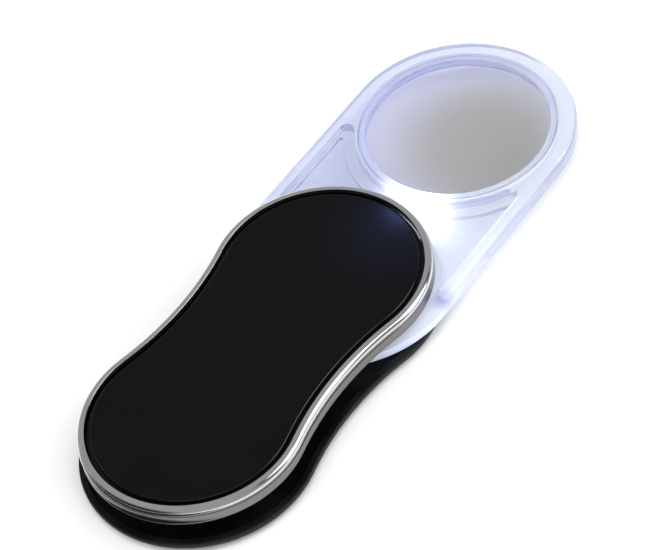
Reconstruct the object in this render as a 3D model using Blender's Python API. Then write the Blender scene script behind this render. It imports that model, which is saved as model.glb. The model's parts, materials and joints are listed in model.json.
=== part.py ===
"""Pocket magnifier with a lit lens that swings out of a slim hourglass handle.

Plan view: the handle is two round lobes joined by a concave waist. A clear lens frame turns through
half a circle about a hub that sits between the centre of the handle's front lobe and the centre of the
frame's own heel, so the frame covers the handle exactly when it is shut and stands in line when open.
The model is at rest with the frame open, along +Y. Lengths below are millimetres, scaled by MM.
"""

import math

import bmesh
import bpy

MM = 0.001

# Plan of the handle
LOBE_RADIUS = 24.6  # line where the bezel meets the panel
LOBE_SPACING = 50.0
WAIST_RADIUS = 79.8
PIVOT_TO_LOBE = 3.5
FRONT_LOBE_Y = -PIVOT_TO_LOBE
REAR_LOBE_Y = FRONT_LOBE_Y - LOBE_SPACING

# Plan of the lens frame, which mirrors the handle about the pivot
FRAME_RADIUS = 28.75
HEEL_Y = PIVOT_TO_LOBE
LENS_Y = HEEL_Y + LOBE_SPACING
FRAME_ROUNDING = 1.4
RIB_INNER_X = 25.6
RIB_END_Y = 5.5
PLATE_RADIUS = 25.9  # round step about the hub
SEAT_WALL_RADIUS = 25.3
SEAT_FOOT_RADIUS = 28.3
POCKET_LEDGE = 0.4  # how far the sunk floors stay inside the pocket's walls
NEAR_CORNER = 0.6
FAR_CORNER = 2.0

# Heights above the surface that the handle lies on
SHELL_FLOOR = 1.4
LEDGE_TOP = 2.6
SHELL_RIM = 3.1
FRAME_BOTTOM = 3.45
POCKET_FLOOR = 4.2
FOOT_TOP = 5.1
PLATE_TOP = 5.8
FRAME_TOP = 7.4
COVER_BOTTOM = 7.8
COVER_CEILING = 10.4
COVER_TOP = 11.5
PANEL_BOTTOM = 11.8
PANEL_TOP = 12.8

# Handle walls
SHELL_SPREAD = 3.4  # how far the shell stands outside the bezel line
SHELL_FILLET = 2.4
SHELL_WALL = 1.7
COVER_GAP = 0.3
COVER_WALL = 1.2
PANEL_GAP = 1.25
PANEL_CROWN = 0.06
BEZEL_TOP = 12.9
BEZEL_SPREAD = 1.9
BEZEL_ROUND = 1.28  # radius of the bezel's main convex side

# Hub
HUB_RADIUS = 19.4
HUB_BORE = 17.6
HUB_SPLIT = 5.7  # height where the shell's half of the hub meets the cover's half
LEDGE_RADIUS = 22.2
HUB_CLEARANCE = 0.4
DECK_TOP = 2.5
SCREW_CIRCLE = 15.4
SCREW_ANGLES = (45, 135, 225, 315)
SCREW_HEAD_RADIUS = 1.5
SCREW_HOLE_RADIUS = 1.8
SCREW_SEAT = 1.15  # height of the step that a screw's head bears on
SCREW_CROSS = 1.0  # half length of the cross's arms
BOSS_RADIUS = 1.9
PILOT_RADIUS = 1.0
WASHER_MIDDLE = 3.03
WASHER_WAVE = 0.12
WASHER_THICKNESS = 0.25
STOP_ANGLE = 270
STOP_HALF_WIDTH = 5
SWING_TRAVEL = 180

# Battery well and its coin-turn cap
WELL_RADIUS = 10.6
WELL_WALL = 1.2
WELL_TOP = 5.2
CELL_RADIUS = 10.0
CELL_HEIGHT = 1.6
CELL_BOTTOMS = (2.2, 4.0)
CAP_RADIUS = 11.95
CAP_BOTTOM = 0.1
CAP_FLANGE_TOP = 0.9
CAP_TOP = 1.5
CAP_BORE = 12.2
CAP_TRAVEL = 60
COIN_SLOT_LENGTH = 15.0
COIN_SLOT_WIDTH = 1.8
COIN_SLOT_TOP = 0.75
LUG_RADIUS = 12.95
LUG_TRACK = 13.25
LUG_HALF_WIDTH = 16

# Lens
LENS_RADIUS = 24.0
LENS_THICKNESS = 4.3
LENS_EDGE = 0.7
LENS_CENTRE_Z = 5.45
LENS_WINDOW = 22.4
LENS_BORE = 24.4
LIP_TOP = 4.6
LENS_RING_BOTTOM = 6.4
LENS_RING_TOP = 7.25

# Lamp and switch
LED_RADIUS = 1.5
LED_Z = 7.05
LED_BACK_Y = 10.9
LED_FLANGE_Y = 11.7
LED_NOSE_Y = 15.6
LED_LEG_X = 0.64
BOARD_BOTTOM = 9.0
BOARD_THICKNESS = 0.8
BOARD_HALF_WIDTH = 7.4
BOARD_ENDS_Y = (-15.0, 15.5)
RESISTOR_PLAN = (2.4, 5.6, 4.0, 5.6)  # x from, x to, y from, y to
WIPER_ANGLES = (262, 278)
STRIP_INNER = 22.5
STRIP_OUTER = 24.2
STRIP_HALF_WIDTH = 28

# Fineness
LOBE_STEPS = 22
WAIST_STEPS = 6
ROUND_STEPS = 40
SMALL_STEPS = 12

# The pivot stands this far along Y from the middle of the whole open magnifier
PIVOT_Y = ((LOBE_RADIUS + SHELL_SPREAD) - FRAME_RADIUS) / 2


# ---------------------------------------------------------------- outlines


def arc(x, y, radius, start, end, steps, closed=False):
    """Points on a circle from one angle to another, in degrees; the last one only when closed."""
    count = steps + 1 if closed else steps
    turn = [math.radians(start + (end - start) * i / steps) for i in range(count)]
    return [(x + radius * math.cos(a), y + radius * math.sin(a)) for a in turn]


def circle(x=0.0, y=0.0, steps=ROUND_STEPS):
    """An outline maker: its offset is the circle's radius."""
    return lambda radius: arc(x, y, radius, 0, 360, steps)


def handle_outline(offset):
    """The hourglass at a distance outside the bezel line: two lobes and two concave waist arcs."""
    waist_x = math.sqrt((LOBE_RADIUS + WAIST_RADIUS) ** 2 - (LOBE_SPACING / 2) ** 2)
    tilt = math.degrees(math.atan2(LOBE_SPACING / 2, waist_x))
    middle = (FRONT_LOBE_Y + REAR_LOBE_Y) / 2
    lobe, waist = LOBE_RADIUS + offset, WAIST_RADIUS - offset
    return (
        arc(0, FRONT_LOBE_Y, lobe, -tilt, 180 + tilt, LOBE_STEPS)
        + arc(-waist_x, middle, waist, tilt, -tilt, WAIST_STEPS)
        + arc(0, REAR_LOBE_Y, lobe, 180 - tilt, 360 + tilt, LOBE_STEPS)
        + arc(waist_x, middle, waist, 180 + tilt, 180 - tilt, WAIST_STEPS)
    )


def frame_outline(offset):
    """The lens frame's outline: two half circles joined by straight sides."""
    radius = FRAME_RADIUS + offset
    front = arc(0, LENS_Y, radius, 0, 180, LOBE_STEPS, True)
    heel = arc(0, HEEL_Y, radius, 180, 360, LOBE_STEPS, True)
    return front + heel


def bearing(a, b):
    """Direction from one point to another, in degrees."""
    return math.degrees(math.atan2(b[1] - a[1], b[0] - a[0]))


def beside_rib(centre_y, radius, side, rib, corner):
    """Centre of a corner round that touches a rib's face and a circle: side is 1 beyond it, -1 before."""
    x = rib - corner
    return x, centre_y + side * math.sqrt((radius + corner) ** 2 - x**2)


def mirrored(points):
    return [(-x, y) for x, y in points[::-1]]


def pocket_outline():
    """The space between the ribs, the hub plate and the seat wall, with corners tangent to both."""
    hub, lens = (0, 0), (0, LENS_Y)
    near = beside_rib(0, PLATE_RADIUS, 1, RIB_INNER_X, NEAR_CORNER)
    far = beside_rib(LENS_Y, SEAT_WALL_RADIUS, -1, RIB_INNER_X, FAR_CORNER)
    low, high = bearing(hub, near), bearing(lens, far)
    near_round = arc(*near, NEAR_CORNER, 180 + low, 360, 5, True)
    far_round = arc(*far, FAR_CORNER, 0, 180 + high, 8, True)
    hub_side = arc(*hub, PLATE_RADIUS, 180 - low, low, LOBE_STEPS)[1:]
    lens_side = arc(*lens, SEAT_WALL_RADIUS, high, -180 - high, LOBE_STEPS)[1:]
    return hub_side + near_round + far_round + lens_side + mirrored(far_round) + mirrored(near_round)


def sunk_outline():
    """The right side's sunk floor: outside the hub plate and the seat's foot, and inside the rib."""
    hub, lens, rib = (0, 0), (0, LENS_Y), RIB_INNER_X - POCKET_LEDGE
    hub_radius = PLATE_RADIUS + POCKET_LEDGE
    near = beside_rib(0, hub_radius, 1, rib, NEAR_CORNER)
    far = beside_rib(LENS_Y, SEAT_FOOT_RADIUS, -1, rib, NEAR_CORNER)
    one, two = hub_radius + NEAR_CORNER, SEAT_FOOT_RADIUS + NEAR_CORNER
    along = (one**2 - two**2 + LENS_Y**2) / (2 * LENS_Y)
    inner = (math.sqrt(one**2 - along**2), along)
    return (
        arc(*hub, hub_radius, bearing(hub, inner), bearing(hub, near), 14)
        + arc(*near, NEAR_CORNER, 180 + bearing(hub, near), 360, 5, True)
        + arc(*far, NEAR_CORNER, 0, 180 + bearing(lens, far), 5)
        + arc(*lens, SEAT_FOOT_RADIUS, bearing(lens, far), bearing(lens, inner), 14)
        + arc(*inner, NEAR_CORNER, 180 + bearing(lens, inner), 180 + bearing(hub, inner), 5)
    )


# ---------------------------------------------------------------- solids


def loft(outline, profile, ring=False):
    """A mesh through one outline at each (offset, height): capped at both ends, or closed as a ring."""
    shape = bmesh.new()
    rows = []
    for offset, height in profile:
        rows.append([shape.verts.new((x * MM, y * MM, height * MM)) for x, y in outline(offset)])
    count = len(rows[0])
    pairs = list(zip(rows, rows[1:]))
    if ring:
        pairs.append((rows[-1], rows[0]))
    else:
        shape.faces.new(rows[0][::-1])
        shape.faces.new(rows[-1])
    for low, high in pairs:
        for i in range(count):
            j = (i + 1) % count
            shape.faces.new((low[i], low[j], high[j], high[i]))
    bmesh.ops.recalc_face_normals(shape, faces=shape.faces)
    mesh = bpy.data.meshes.new("shape")
    shape.to_mesh(mesh)
    shape.free()
    return mesh


def prism(points, bottom, top):
    """A plan outline raised between two heights."""
    return loft(lambda _: points, [(0, bottom), (0, top)])


def cylinder(radius, bottom, top, x=0.0, y=0.0, steps=ROUND_STEPS):
    return prism(arc(x, y, radius, 0, 360, steps), bottom, top)


def block(x0, x1, y0, y1, bottom, top):
    return prism([(x0, y0), (x1, y0), (x1, y1), (x0, y1)], bottom, top)


def sector(inner, outer, start, end, bottom, top):
    """Part of a flat ring, between two angles in degrees."""
    steps = max(4, round(abs(end - start) / 8))
    outer_side = arc(0, 0, outer, start, end, steps, True)
    inner_side = arc(0, 0, inner, end, start, steps, True)
    return prism(outer_side + inner_side, bottom, top)


def polar(radius, degrees):
    return radius * math.cos(math.radians(degrees)), radius * math.sin(math.radians(degrees))


def leaf(path, width, degrees, thickness=0.3):
    """A bent metal leaf: its path is (distance from the pivot, height), facing one angle."""
    left, right = [], []
    for i, (r, z) in enumerate(path):
        r0, z0 = path[max(i - 1, 0)]
        r1, z1 = path[min(i + 1, len(path) - 1)]
        length = math.hypot(r1 - r0, z1 - z0)
        nr, nz = -(z1 - z0) / length * thickness / 2, (r1 - r0) / length * thickness / 2
        left.append((r + nr, z + nz))
        right.append((r - nr, z - nz))
    loop = left + right[::-1]
    shape = bmesh.new()
    rows = []
    c, s = polar(1, degrees)
    for side in (-width / 2, width / 2):
        spots = [(r * c - side * s, r * s + side * c, z) for r, z in loop]
        rows.append([shape.verts.new((x * MM, y * MM, z * MM)) for x, y, z in spots])
    shape.faces.new(rows[0])
    shape.faces.new(rows[1][::-1])
    for i in range(len(loop)):
        j = (i + 1) % len(loop)
        shape.faces.new((rows[0][i], rows[0][j], rows[1][j], rows[1][i]))
    bmesh.ops.recalc_face_normals(shape, faces=shape.faces)
    mesh = bpy.data.meshes.new("leaf")
    shape.to_mesh(mesh)
    shape.free()
    return mesh


# ---------------------------------------------------------------- objects


def clear_scene():
    for obj in list(bpy.data.objects):
        bpy.data.objects.remove(obj)


def pivot(name):
    """An empty on the hub's axis, where the parts of one body hang."""
    empty = bpy.data.objects.new(name, None)
    empty.location = (0, PIVOT_Y * MM, 0)
    empty.empty_display_size = 5 * MM
    bpy.context.scene.collection.objects.link(empty)
    return empty


def finish(name, colour, roughness, metallic=0.0, transmission=0.0):
    material = bpy.data.materials.new(name)
    material.use_nodes = True
    shader = material.node_tree.nodes["Principled BSDF"]
    shader.inputs["Base Color"].default_value = (*colour, 1)
    shader.inputs["Roughness"].default_value = roughness
    shader.inputs["Metallic"].default_value = metallic
    shader.inputs["Transmission Weight"].default_value = transmission
    return material


def piece(name, mesh, material, parent):
    mesh.name = name
    mesh.materials.append(material)
    mesh.shade_smooth()
    mesh.set_sharp_from_angle(angle=math.radians(32))
    obj = bpy.data.objects.new(name, mesh)
    obj.parent = parent
    bpy.context.scene.collection.objects.link(obj)
    return obj


def shape_with(obj, operation, *meshes):
    """Adds one Boolean for each mesh: UNION, DIFFERENCE or INTERSECT."""
    for mesh in meshes:
        helper = bpy.data.objects.new(f"{obj.name}_{operation.lower()}", mesh)
        helper.parent = obj.parent
        helper.hide_render = True
        helper.display_type = "WIRE"
        bpy.context.scene.collection.objects.link(helper)
        modifier = obj.modifiers.new(operation.title(), "BOOLEAN")
        modifier.operation = operation
        modifier.object = helper


# ---------------------------------------------------------------- handle


def make_shell(parent, black):
    """The lower half: a shallow tray, half of the hub, the battery well and the swing stop."""
    centre_offset, centre_z = SHELL_SPREAD - SHELL_FILLET, SHELL_FILLET
    fillet = arc(centre_offset, centre_z, SHELL_FILLET, -90, 0, 6, True)
    inside = SHELL_SPREAD - SHELL_WALL
    profile = fillet + [
        (SHELL_SPREAD - 0.15, SHELL_RIM),
        (inside, SHELL_RIM),
        (inside - 0.2, SHELL_FLOOR),
    ]
    shell = piece("shell", loft(handle_outline, profile), black, parent)
    shape_with(
        shell,
        "UNION",
        cylinder(LEDGE_RADIUS, 0.6, LEDGE_TOP),
        cylinder(HUB_RADIUS, 0.7, HUB_SPLIT - 0.1),
        sector(
            HUB_RADIUS - 0.6,
            HUB_RADIUS + 1.2,
            STOP_ANGLE - STOP_HALF_WIDTH,
            STOP_ANGLE + STOP_HALF_WIDTH,
            FRAME_BOTTOM + 0.2,
            HUB_SPLIT - 0.25,
        ),
    )
    shape_with(shell, "DIFFERENCE", cylinder(HUB_BORE, DECK_TOP, PANEL_TOP))
    shape_with(shell, "UNION", cylinder(WELL_RADIUS + WELL_WALL, DECK_TOP - 0.4, WELL_TOP))
    notches = [
        sector(
            CAP_BORE - 0.5,
            LUG_TRACK,
            turn + CAP_TRAVEL - LUG_HALF_WIDTH - 2,
            turn + CAP_TRAVEL + LUG_HALF_WIDTH + 2,
            -1,
            1.2,
        )
        for turn in (0, 180)
    ]
    holes = []
    for degrees in SCREW_ANGLES:
        x, y = polar(SCREW_CIRCLE, degrees)
        holes.append(cylinder(SCREW_HOLE_RADIUS, -1, SCREW_SEAT, x, y, SMALL_STEPS))
        holes.append(cylinder(PILOT_RADIUS + 0.1, 1, DECK_TOP + 1, x, y, SMALL_STEPS))
    tunnels = []
    for degrees in WIPER_ANGLES:
        tunnels.append(leaf([(12.6, 1.95), (LEDGE_RADIUS + 1, 1.95)], 2.2, degrees, 0.9))
        tunnels.append(leaf([(13.5, 1.55), (13.5, DECK_TOP + 1)], 2.2, degrees, 1.6))
    shape_with(
        shell,
        "DIFFERENCE",
        cylinder(CAP_BORE, -1, CAP_FLANGE_TOP),
        cylinder(LUG_TRACK, 0.8, 1.75),
        cylinder(WELL_RADIUS, 1.5, PANEL_TOP),
        block(-2, 2, -WELL_RADIUS - 2, -WELL_RADIUS + 2, DECK_TOP + 0.1, WELL_TOP + 1),
        *notches,
        *holes,
        *tunnels,
    )


def make_top_cover(parent, black):
    """The upper half: a thin tray open downwards, which carries the panel, the bezel and the lamp."""
    profile = [
        (-COVER_GAP - COVER_WALL, COVER_CEILING),
        (-COVER_GAP - COVER_WALL, COVER_BOTTOM),
        (-COVER_GAP, COVER_BOTTOM),
        (-COVER_GAP, COVER_TOP),
    ]
    cover = piece("top_cover", loft(handle_outline, profile), black, parent)
    disc = cylinder(LEDGE_RADIUS, COVER_BOTTOM, COVER_CEILING + 0.5)
    flange = piece("flange_helper", disc, black, parent)
    flange.hide_render = True
    flange.display_type = "WIRE"
    shape_with(flange, "INTERSECT", prism(handle_outline(-COVER_GAP - 0.5), 0, PANEL_TOP))
    modifier = cover.modifiers.new("Flange", "BOOLEAN")
    modifier.operation = "UNION"
    modifier.object = flange
    shape_with(cover, "UNION", cylinder(HUB_RADIUS, HUB_SPLIT + 0.1, COVER_CEILING + 0.4))
    shape_with(cover, "DIFFERENCE", cylinder(HUB_BORE, 0, COVER_CEILING))
    spots = [polar(SCREW_CIRCLE, degrees) for degrees in SCREW_ANGLES]
    foot, ceiling = DECK_TOP + 0.3, COVER_CEILING
    bosses = [cylinder(BOSS_RADIUS, foot, ceiling + 0.5, x, y, SMALL_STEPS) for x, y in spots]
    pilots = [cylinder(PILOT_RADIUS, 0, ceiling - 1, x, y, SMALL_STEPS) for x, y in spots]
    window_half, window_top = LED_RADIUS + 0.6, LED_Z + LED_RADIUS + 0.3
    window = block(-window_half, window_half, HUB_BORE - 2, HUB_RADIUS + 6, HUB_SPLIT - 1, window_top)
    shape_with(cover, "UNION", *bosses)
    shape_with(cover, "DIFFERENCE", *pilots, window)


def make_bezel(parent, chrome):
    """The bright band: a narrow lip round the panel, a full convex side and a rolled lower edge."""
    top, foot, spread = BEZEL_TOP, COVER_BOTTOM, BEZEL_SPREAD
    lip = [(0.0, top - 0.2), (0.12, top - 0.02), (0.42, top), (0.6, top - 0.18)]
    side = arc(spread - BEZEL_ROUND, top - 1.6, BEZEL_ROUND, 68, 0, 6, True)
    groove = [(spread - 0.08, foot + 2.1), (spread - 0.22, foot + 1.65)]
    roll = [(spread - 0.06, foot + 1.2), (spread - 0.12, foot + 0.5), (1.4, foot + 0.1), (0.9, foot)]
    mesh = loft(handle_outline, lip + side + groove + roll + [(0.0, foot)], ring=True)
    piece("bezel", mesh, chrome, parent)


def make_panel(parent, gloss):
    """The glossy inlay, with a bevelled rim and a very slight crown."""
    edge = -PANEL_GAP
    profile = [
        (edge, PANEL_BOTTOM),
        (edge, PANEL_TOP - 0.35),
        (edge - 0.1, PANEL_TOP - 0.15),
        (edge - 0.35, PANEL_TOP - 0.03),
        (edge - 1.2, PANEL_TOP),
        (edge - 8.0, PANEL_TOP + PANEL_CROWN),
    ]
    piece("panel", loft(handle_outline, profile), gloss, parent)


def make_slip_ring(parent, nylon):
    """A nylon ring between the cover and the frame, cut away in front of the lamp."""
    mesh = sector(HUB_RADIUS + 0.7, LEDGE_RADIUS, 125, 415, PLATE_TOP + 0.3, COVER_BOTTOM - 0.3)
    piece("slip_ring", mesh, nylon, parent)


def make_wave_washer(parent, steel):
    """A springy steel washer with three waves, which gives the swing its drag."""
    inner, outer = HUB_RADIUS + 0.7, LEDGE_RADIUS - 0.2
    shape = bmesh.new()
    rings = []
    for radius, side in ((inner, -1), (outer, -1), (outer, 1), (inner, 1)):
        ring = []
        for x, y in arc(0, 0, radius, 0, 360, ROUND_STEPS):
            middle = WASHER_MIDDLE + WASHER_WAVE * math.cos(3 * math.atan2(y, x))
            height = middle + side * WASHER_THICKNESS / 2
            ring.append(shape.verts.new((x * MM, y * MM, height * MM)))
        rings.append(ring)
    for low, high in zip(rings, rings[1:] + rings[:1]):
        for i in range(ROUND_STEPS):
            j = (i + 1) % ROUND_STEPS
            shape.faces.new((low[i], low[j], high[j], high[i]))
    bmesh.ops.recalc_face_normals(shape, faces=shape.faces)
    mesh = bpy.data.meshes.new("washer")
    shape.to_mesh(mesh)
    shape.free()
    piece("wave_washer", mesh, steel, parent)


def make_screws(parent, steel):
    """Four cross-head screws, driven up through the shell into the cover's bosses."""
    head, shank, arm = SCREW_HEAD_RADIUS, PILOT_RADIUS - 0.22, SCREW_CROSS
    for number, degrees in enumerate(SCREW_ANGLES, 1):
        x, y = polar(SCREW_CIRCLE, degrees)
        profile = [(head, 0.3), (head, 0.95), (shank, 0.97), (shank, 7.6), (0.35, 8.2)]
        mesh = loft(circle(x, y, SMALL_STEPS), profile)
        screw = piece(f"hub_screw_{number}", mesh, steel, parent)
        shape_with(
            screw,
            "DIFFERENCE",
            block(x - arm, x + arm, y - 0.2, y + 0.2, 0, 0.65),
            block(x - 0.2, x + 0.2, y - arm, y + arm, 0, 0.66),
        )


# ---------------------------------------------------------------- lamp, cells and switch


def make_lamp(parent, board_green, clear, brown):
    """The white lamp looks along +Y through a window in the hub; its board hangs under the cover."""
    half, board_top = BOARD_HALF_WIDTH, BOARD_BOTTOM + BOARD_THICKNESS
    piece("led_board", block(-half, half, *BOARD_ENDS_Y, BOARD_BOTTOM, board_top), board_green, parent)
    flange = LED_RADIUS + 0.2
    profile = [(flange, LED_BACK_Y), (flange, LED_FLANGE_Y), (LED_RADIUS, LED_FLANGE_Y + 0.01)]
    for degrees in (0, 25, 50, 72):
        across, along = polar(LED_RADIUS, degrees)
        profile.append((across, LED_NOSE_Y + along))
    mesh = loft(circle(steps=SMALL_STEPS), profile)
    for vertex in mesh.vertices:
        x, y, z = vertex.co
        vertex.co = (x, z, LED_Z * MM - y)
    lamp = piece("led", mesh, clear, parent)
    bend = LED_BACK_Y - 0.6
    for x in (-LED_LEG_X, LED_LEG_X):
        leg = leaf([(LED_BACK_Y + 0.5, LED_Z), (bend, LED_Z), (bend, BOARD_BOTTOM - 0.15)], 0.4, 90, 0.4)
        for vertex in leg.vertices:
            vertex.co.x += x * MM
        shape_with(lamp, "UNION", leg)
    resistor = block(*RESISTOR_PLAN, BOARD_BOTTOM - 0.8, BOARD_BOTTOM - 0.2)
    piece("resistor", resistor, brown, parent)


def make_cells(parent, steel):
    """Two coin cells stacked in the well, with the small raised pole upwards."""
    for name, bottom in zip(("cell_lower", "cell_upper"), CELL_BOTTOMS):
        rim = bottom + CELL_HEIGHT
        profile = [
            (CELL_RADIUS - 0.25, bottom),
            (CELL_RADIUS, bottom + 0.2),
            (CELL_RADIUS, rim - 0.45),
            (CELL_RADIUS - 0.3, rim - 0.2),
            (CELL_RADIUS - 1.2, rim - 0.2),
            (CELL_RADIUS - 1.35, rim),
        ]
        piece(name, loft(circle(), profile), steel, parent)


def make_contacts(parent, brass):
    """Leaves that take the current from the cells, and two wipers that the frame's strip bridges."""
    under_board = BOARD_BOTTOM - 0.4
    upper = [(9.0, under_board), (5.5, under_board), (3.4, 7.2), (0.8, 5.98), (-0.8, 5.98), (-2.6, 6.6)]
    piece("negative_contact", leaf(upper, 4.0, 90), brass, parent)
    side = [(12.4, BOARD_BOTTOM - 0.2), (12.2, 6.6), (10.5, 4.4), (10.9, 3.0)]
    piece("positive_contact", leaf(side, 1.8, 270), brass, parent)
    for name, degrees in zip(("switch_wiper_left", "switch_wiper_right"), WIPER_ANGLES):
        path = [
            (14.2, under_board),
            (13.4, under_board - 0.5),
            (13.2, 2.4),
            (13.7, 1.95),
            (25.0, 1.95),
            (25.7, 2.3),
            (25.4, 2.75),
            (23.9, 3.16),
            (22.8, 3.16),
        ]
        piece(name, leaf(path, 1.5, degrees, 0.25), brass, parent)


# ---------------------------------------------------------------- battery cap


def make_battery_cap(parent, black, brass):
    """The coin-turn cap on the underside: two lugs, a coin slot, and the plate that feeds the cells."""
    cap = piece("battery_cap", cylinder(CAP_RADIUS, CAP_BOTTOM, CAP_FLANGE_TOP), black, parent)
    lug_bottom = CAP_FLANGE_TOP + 0.08
    lugs = []
    for turn in (0, 180):
        ends = (turn - LUG_HALF_WIDTH, turn + LUG_HALF_WIDTH)
        lugs.append(sector(CAP_RADIUS - 1.5, LUG_RADIUS, *ends, lug_bottom, CAP_TOP))
    shape_with(cap, "UNION", cylinder(CAP_RADIUS - 0.35, 0.5, CAP_TOP), *lugs)
    length, width = COIN_SLOT_LENGTH / 2, COIN_SLOT_WIDTH / 2
    shape_with(cap, "DIFFERENCE", block(-length, length, -width, width, -1, COIN_SLOT_TOP))
    under = [(7.0, 1.66), (7.0, 1.82), (4.0, 2.05), (2.0, 2.08)]
    over = [(2.0, 1.92), (4.0, 1.89)]
    piece("cap_contact", loft(circle(steps=28), under + over, ring=True), brass, parent)


# ---------------------------------------------------------------- lens frame


def make_lens_frame(parent, clear):
    """The clear frame: a plate round the hub, two ribs, two sunk pockets and the lens seat."""
    rounding = arc(-FRAME_ROUNDING, FRAME_TOP - FRAME_ROUNDING, FRAME_ROUNDING, 0, 90, 5, True)
    profile = [(-0.3, FRAME_BOTTOM), (0, FRAME_BOTTOM + 0.3)] + rounding
    frame = piece("lens_frame", loft(frame_outline, profile), clear, parent)
    slot_start = STOP_ANGLE - SWING_TRAVEL - STOP_HALF_WIDTH - 0.8
    slot_end = STOP_ANGLE + STOP_HALF_WIDTH + 0.8
    strip_ends = (STOP_ANGLE - STRIP_HALF_WIDTH - 1, STOP_ANGLE + STRIP_HALF_WIDTH + 1)
    shape_with(
        frame,
        "DIFFERENCE",
        cylinder(PLATE_RADIUS + 0.4, PLATE_TOP, FRAME_TOP + 1),
        block(-35, 35, -35, RIB_END_Y, PLATE_TOP, FRAME_TOP + 2),
        prism(pocket_outline(), FOOT_TOP, FRAME_TOP + 3),
        cylinder(HUB_RADIUS + HUB_CLEARANCE, 0, FRAME_TOP + 4),
        sector(HUB_RADIUS - 1, HUB_RADIUS + 1.5, slot_start, slot_end, 0, FRAME_TOP + 5),
        cylinder(LENS_BORE, LIP_TOP, FRAME_TOP + 6, 0, LENS_Y),
        cylinder(LENS_WINDOW + 0.2, 0, FRAME_TOP + 7, 0, LENS_Y),
        sector(STRIP_INNER - 0.2, STRIP_OUTER + 0.2, *strip_ends, 0, FRAME_BOTTOM + 0.4),
    )
    for outline in (sunk_outline(), mirrored(sunk_outline())):
        shape_with(frame, "DIFFERENCE", prism(outline, POCKET_FLOOR, FRAME_TOP + 8))


def make_lens(parent, glass, clear):
    """A double-convex lens, and the clear ring that holds it in its seat."""
    sag = (LENS_THICKNESS - LENS_EDGE) / 2
    curve = (LENS_RADIUS**2 + sag**2) / (2 * sag)
    profile = []
    radii = [LENS_RADIUS * t for t in (0.12, 0.3, 0.48, 0.64, 0.78, 0.9, 1.0)]
    half = LENS_THICKNESS / 2
    for r in radii:
        profile.append((r, LENS_CENTRE_Z - half + curve - math.sqrt(curve**2 - r**2)))
    for r in radii[::-1]:
        profile.append((r, LENS_CENTRE_Z + half - curve + math.sqrt(curve**2 - r**2)))
    piece("lens", loft(circle(0, LENS_Y), profile), glass, parent)
    low, high, outer = LENS_RING_BOTTOM, LENS_RING_TOP, LENS_BORE - 0.3
    ring = [
        (LENS_WINDOW + 0.25, low),
        (outer, low),
        (outer, high - 0.15),
        (outer - 0.3, high),
        (LENS_WINDOW + 0.2, high - 0.05),
        (LENS_WINDOW, high - 0.25),
    ]
    piece("lens_ring", loft(circle(0, LENS_Y), ring, ring=True), clear, parent)


def make_contact_strip(parent, brass):
    """The strip under the hub plate that joins the two wipers while the frame stands open."""
    ends = (STOP_ANGLE - STRIP_HALF_WIDTH, STOP_ANGLE + STRIP_HALF_WIDTH)
    mesh = sector(STRIP_INNER, STRIP_OUTER, *ends, FRAME_BOTTOM + 0.03, FRAME_BOTTOM + 0.27)
    piece("contact_strip", mesh, brass, parent)


def main():
    clear_scene()
    handle = pivot("handle_origin")
    swing = pivot("swing_pivot")
    cap = pivot("cap_pivot")
    black = finish("black_abs", (0.008, 0.008, 0.009), 0.32)
    gloss = finish("gloss_black", (0.010, 0.010, 0.012), 0.08)
    chrome = finish("chrome", (0.72, 0.73, 0.75), 0.08, metallic=1.0)
    clear = finish("clear_acrylic", (0.86, 0.88, 1.0), 0.06, transmission=0.7)
    glass = finish("lens_acrylic", (0.92, 0.93, 0.96), 0.02, transmission=0.95)
    steel = finish("steel", (0.55, 0.55, 0.56), 0.3, metallic=1.0)
    brass = finish("contact_brass", (0.72, 0.55, 0.28), 0.3, metallic=1.0)
    nylon = finish("nylon", (0.82, 0.82, 0.80), 0.5)
    green = finish("board_green", (0.03, 0.22, 0.08), 0.45)
    brown = finish("resistor_black", (0.02, 0.02, 0.02), 0.5)

    make_shell(handle, black)
    make_top_cover(handle, black)
    make_bezel(handle, chrome)
    make_panel(handle, gloss)
    make_slip_ring(handle, nylon)
    make_wave_washer(handle, steel)
    make_screws(handle, steel)
    make_lamp(handle, green, clear, brown)
    make_cells(handle, steel)
    make_contacts(handle, brass)
    make_battery_cap(cap, black, brass)
    make_lens_frame(swing, clear)
    make_lens(swing, glass, clear)
    make_contact_strip(swing, brass)


main()
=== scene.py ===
# %% [markdown]
# # A pocket magnifier with a lit lens
#
# The packed model gives every piece its place and its way of moving, but it is cut in coarse facets.
# This lesson makes the visible pieces again with smooth surfaces, gives each material the small
# irregularities of the real one, and sets them on a pale floor in soft studio light. All lengths that
# the packed model knows are read from it, so the two can't drift apart.

# %% Load the packed model
import json
import math

import bpy
import numpy as np
from mathutils import Matrix, Vector


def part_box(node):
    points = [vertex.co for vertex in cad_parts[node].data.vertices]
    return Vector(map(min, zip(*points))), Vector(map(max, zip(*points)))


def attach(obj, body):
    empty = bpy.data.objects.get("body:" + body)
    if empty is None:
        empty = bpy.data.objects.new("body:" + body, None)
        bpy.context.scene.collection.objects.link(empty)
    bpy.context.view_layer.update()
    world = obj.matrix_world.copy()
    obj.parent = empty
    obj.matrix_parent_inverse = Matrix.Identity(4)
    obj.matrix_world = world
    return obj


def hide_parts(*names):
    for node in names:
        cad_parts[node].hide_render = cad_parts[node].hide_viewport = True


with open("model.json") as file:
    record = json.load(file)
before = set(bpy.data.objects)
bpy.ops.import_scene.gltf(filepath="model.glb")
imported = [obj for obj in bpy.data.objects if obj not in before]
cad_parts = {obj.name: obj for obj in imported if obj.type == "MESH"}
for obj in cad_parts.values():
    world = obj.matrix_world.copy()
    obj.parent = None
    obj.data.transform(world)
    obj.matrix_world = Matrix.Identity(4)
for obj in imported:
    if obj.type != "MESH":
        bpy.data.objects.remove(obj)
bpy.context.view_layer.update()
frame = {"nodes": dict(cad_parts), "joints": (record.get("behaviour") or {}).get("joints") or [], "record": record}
MM = 0.001

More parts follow.
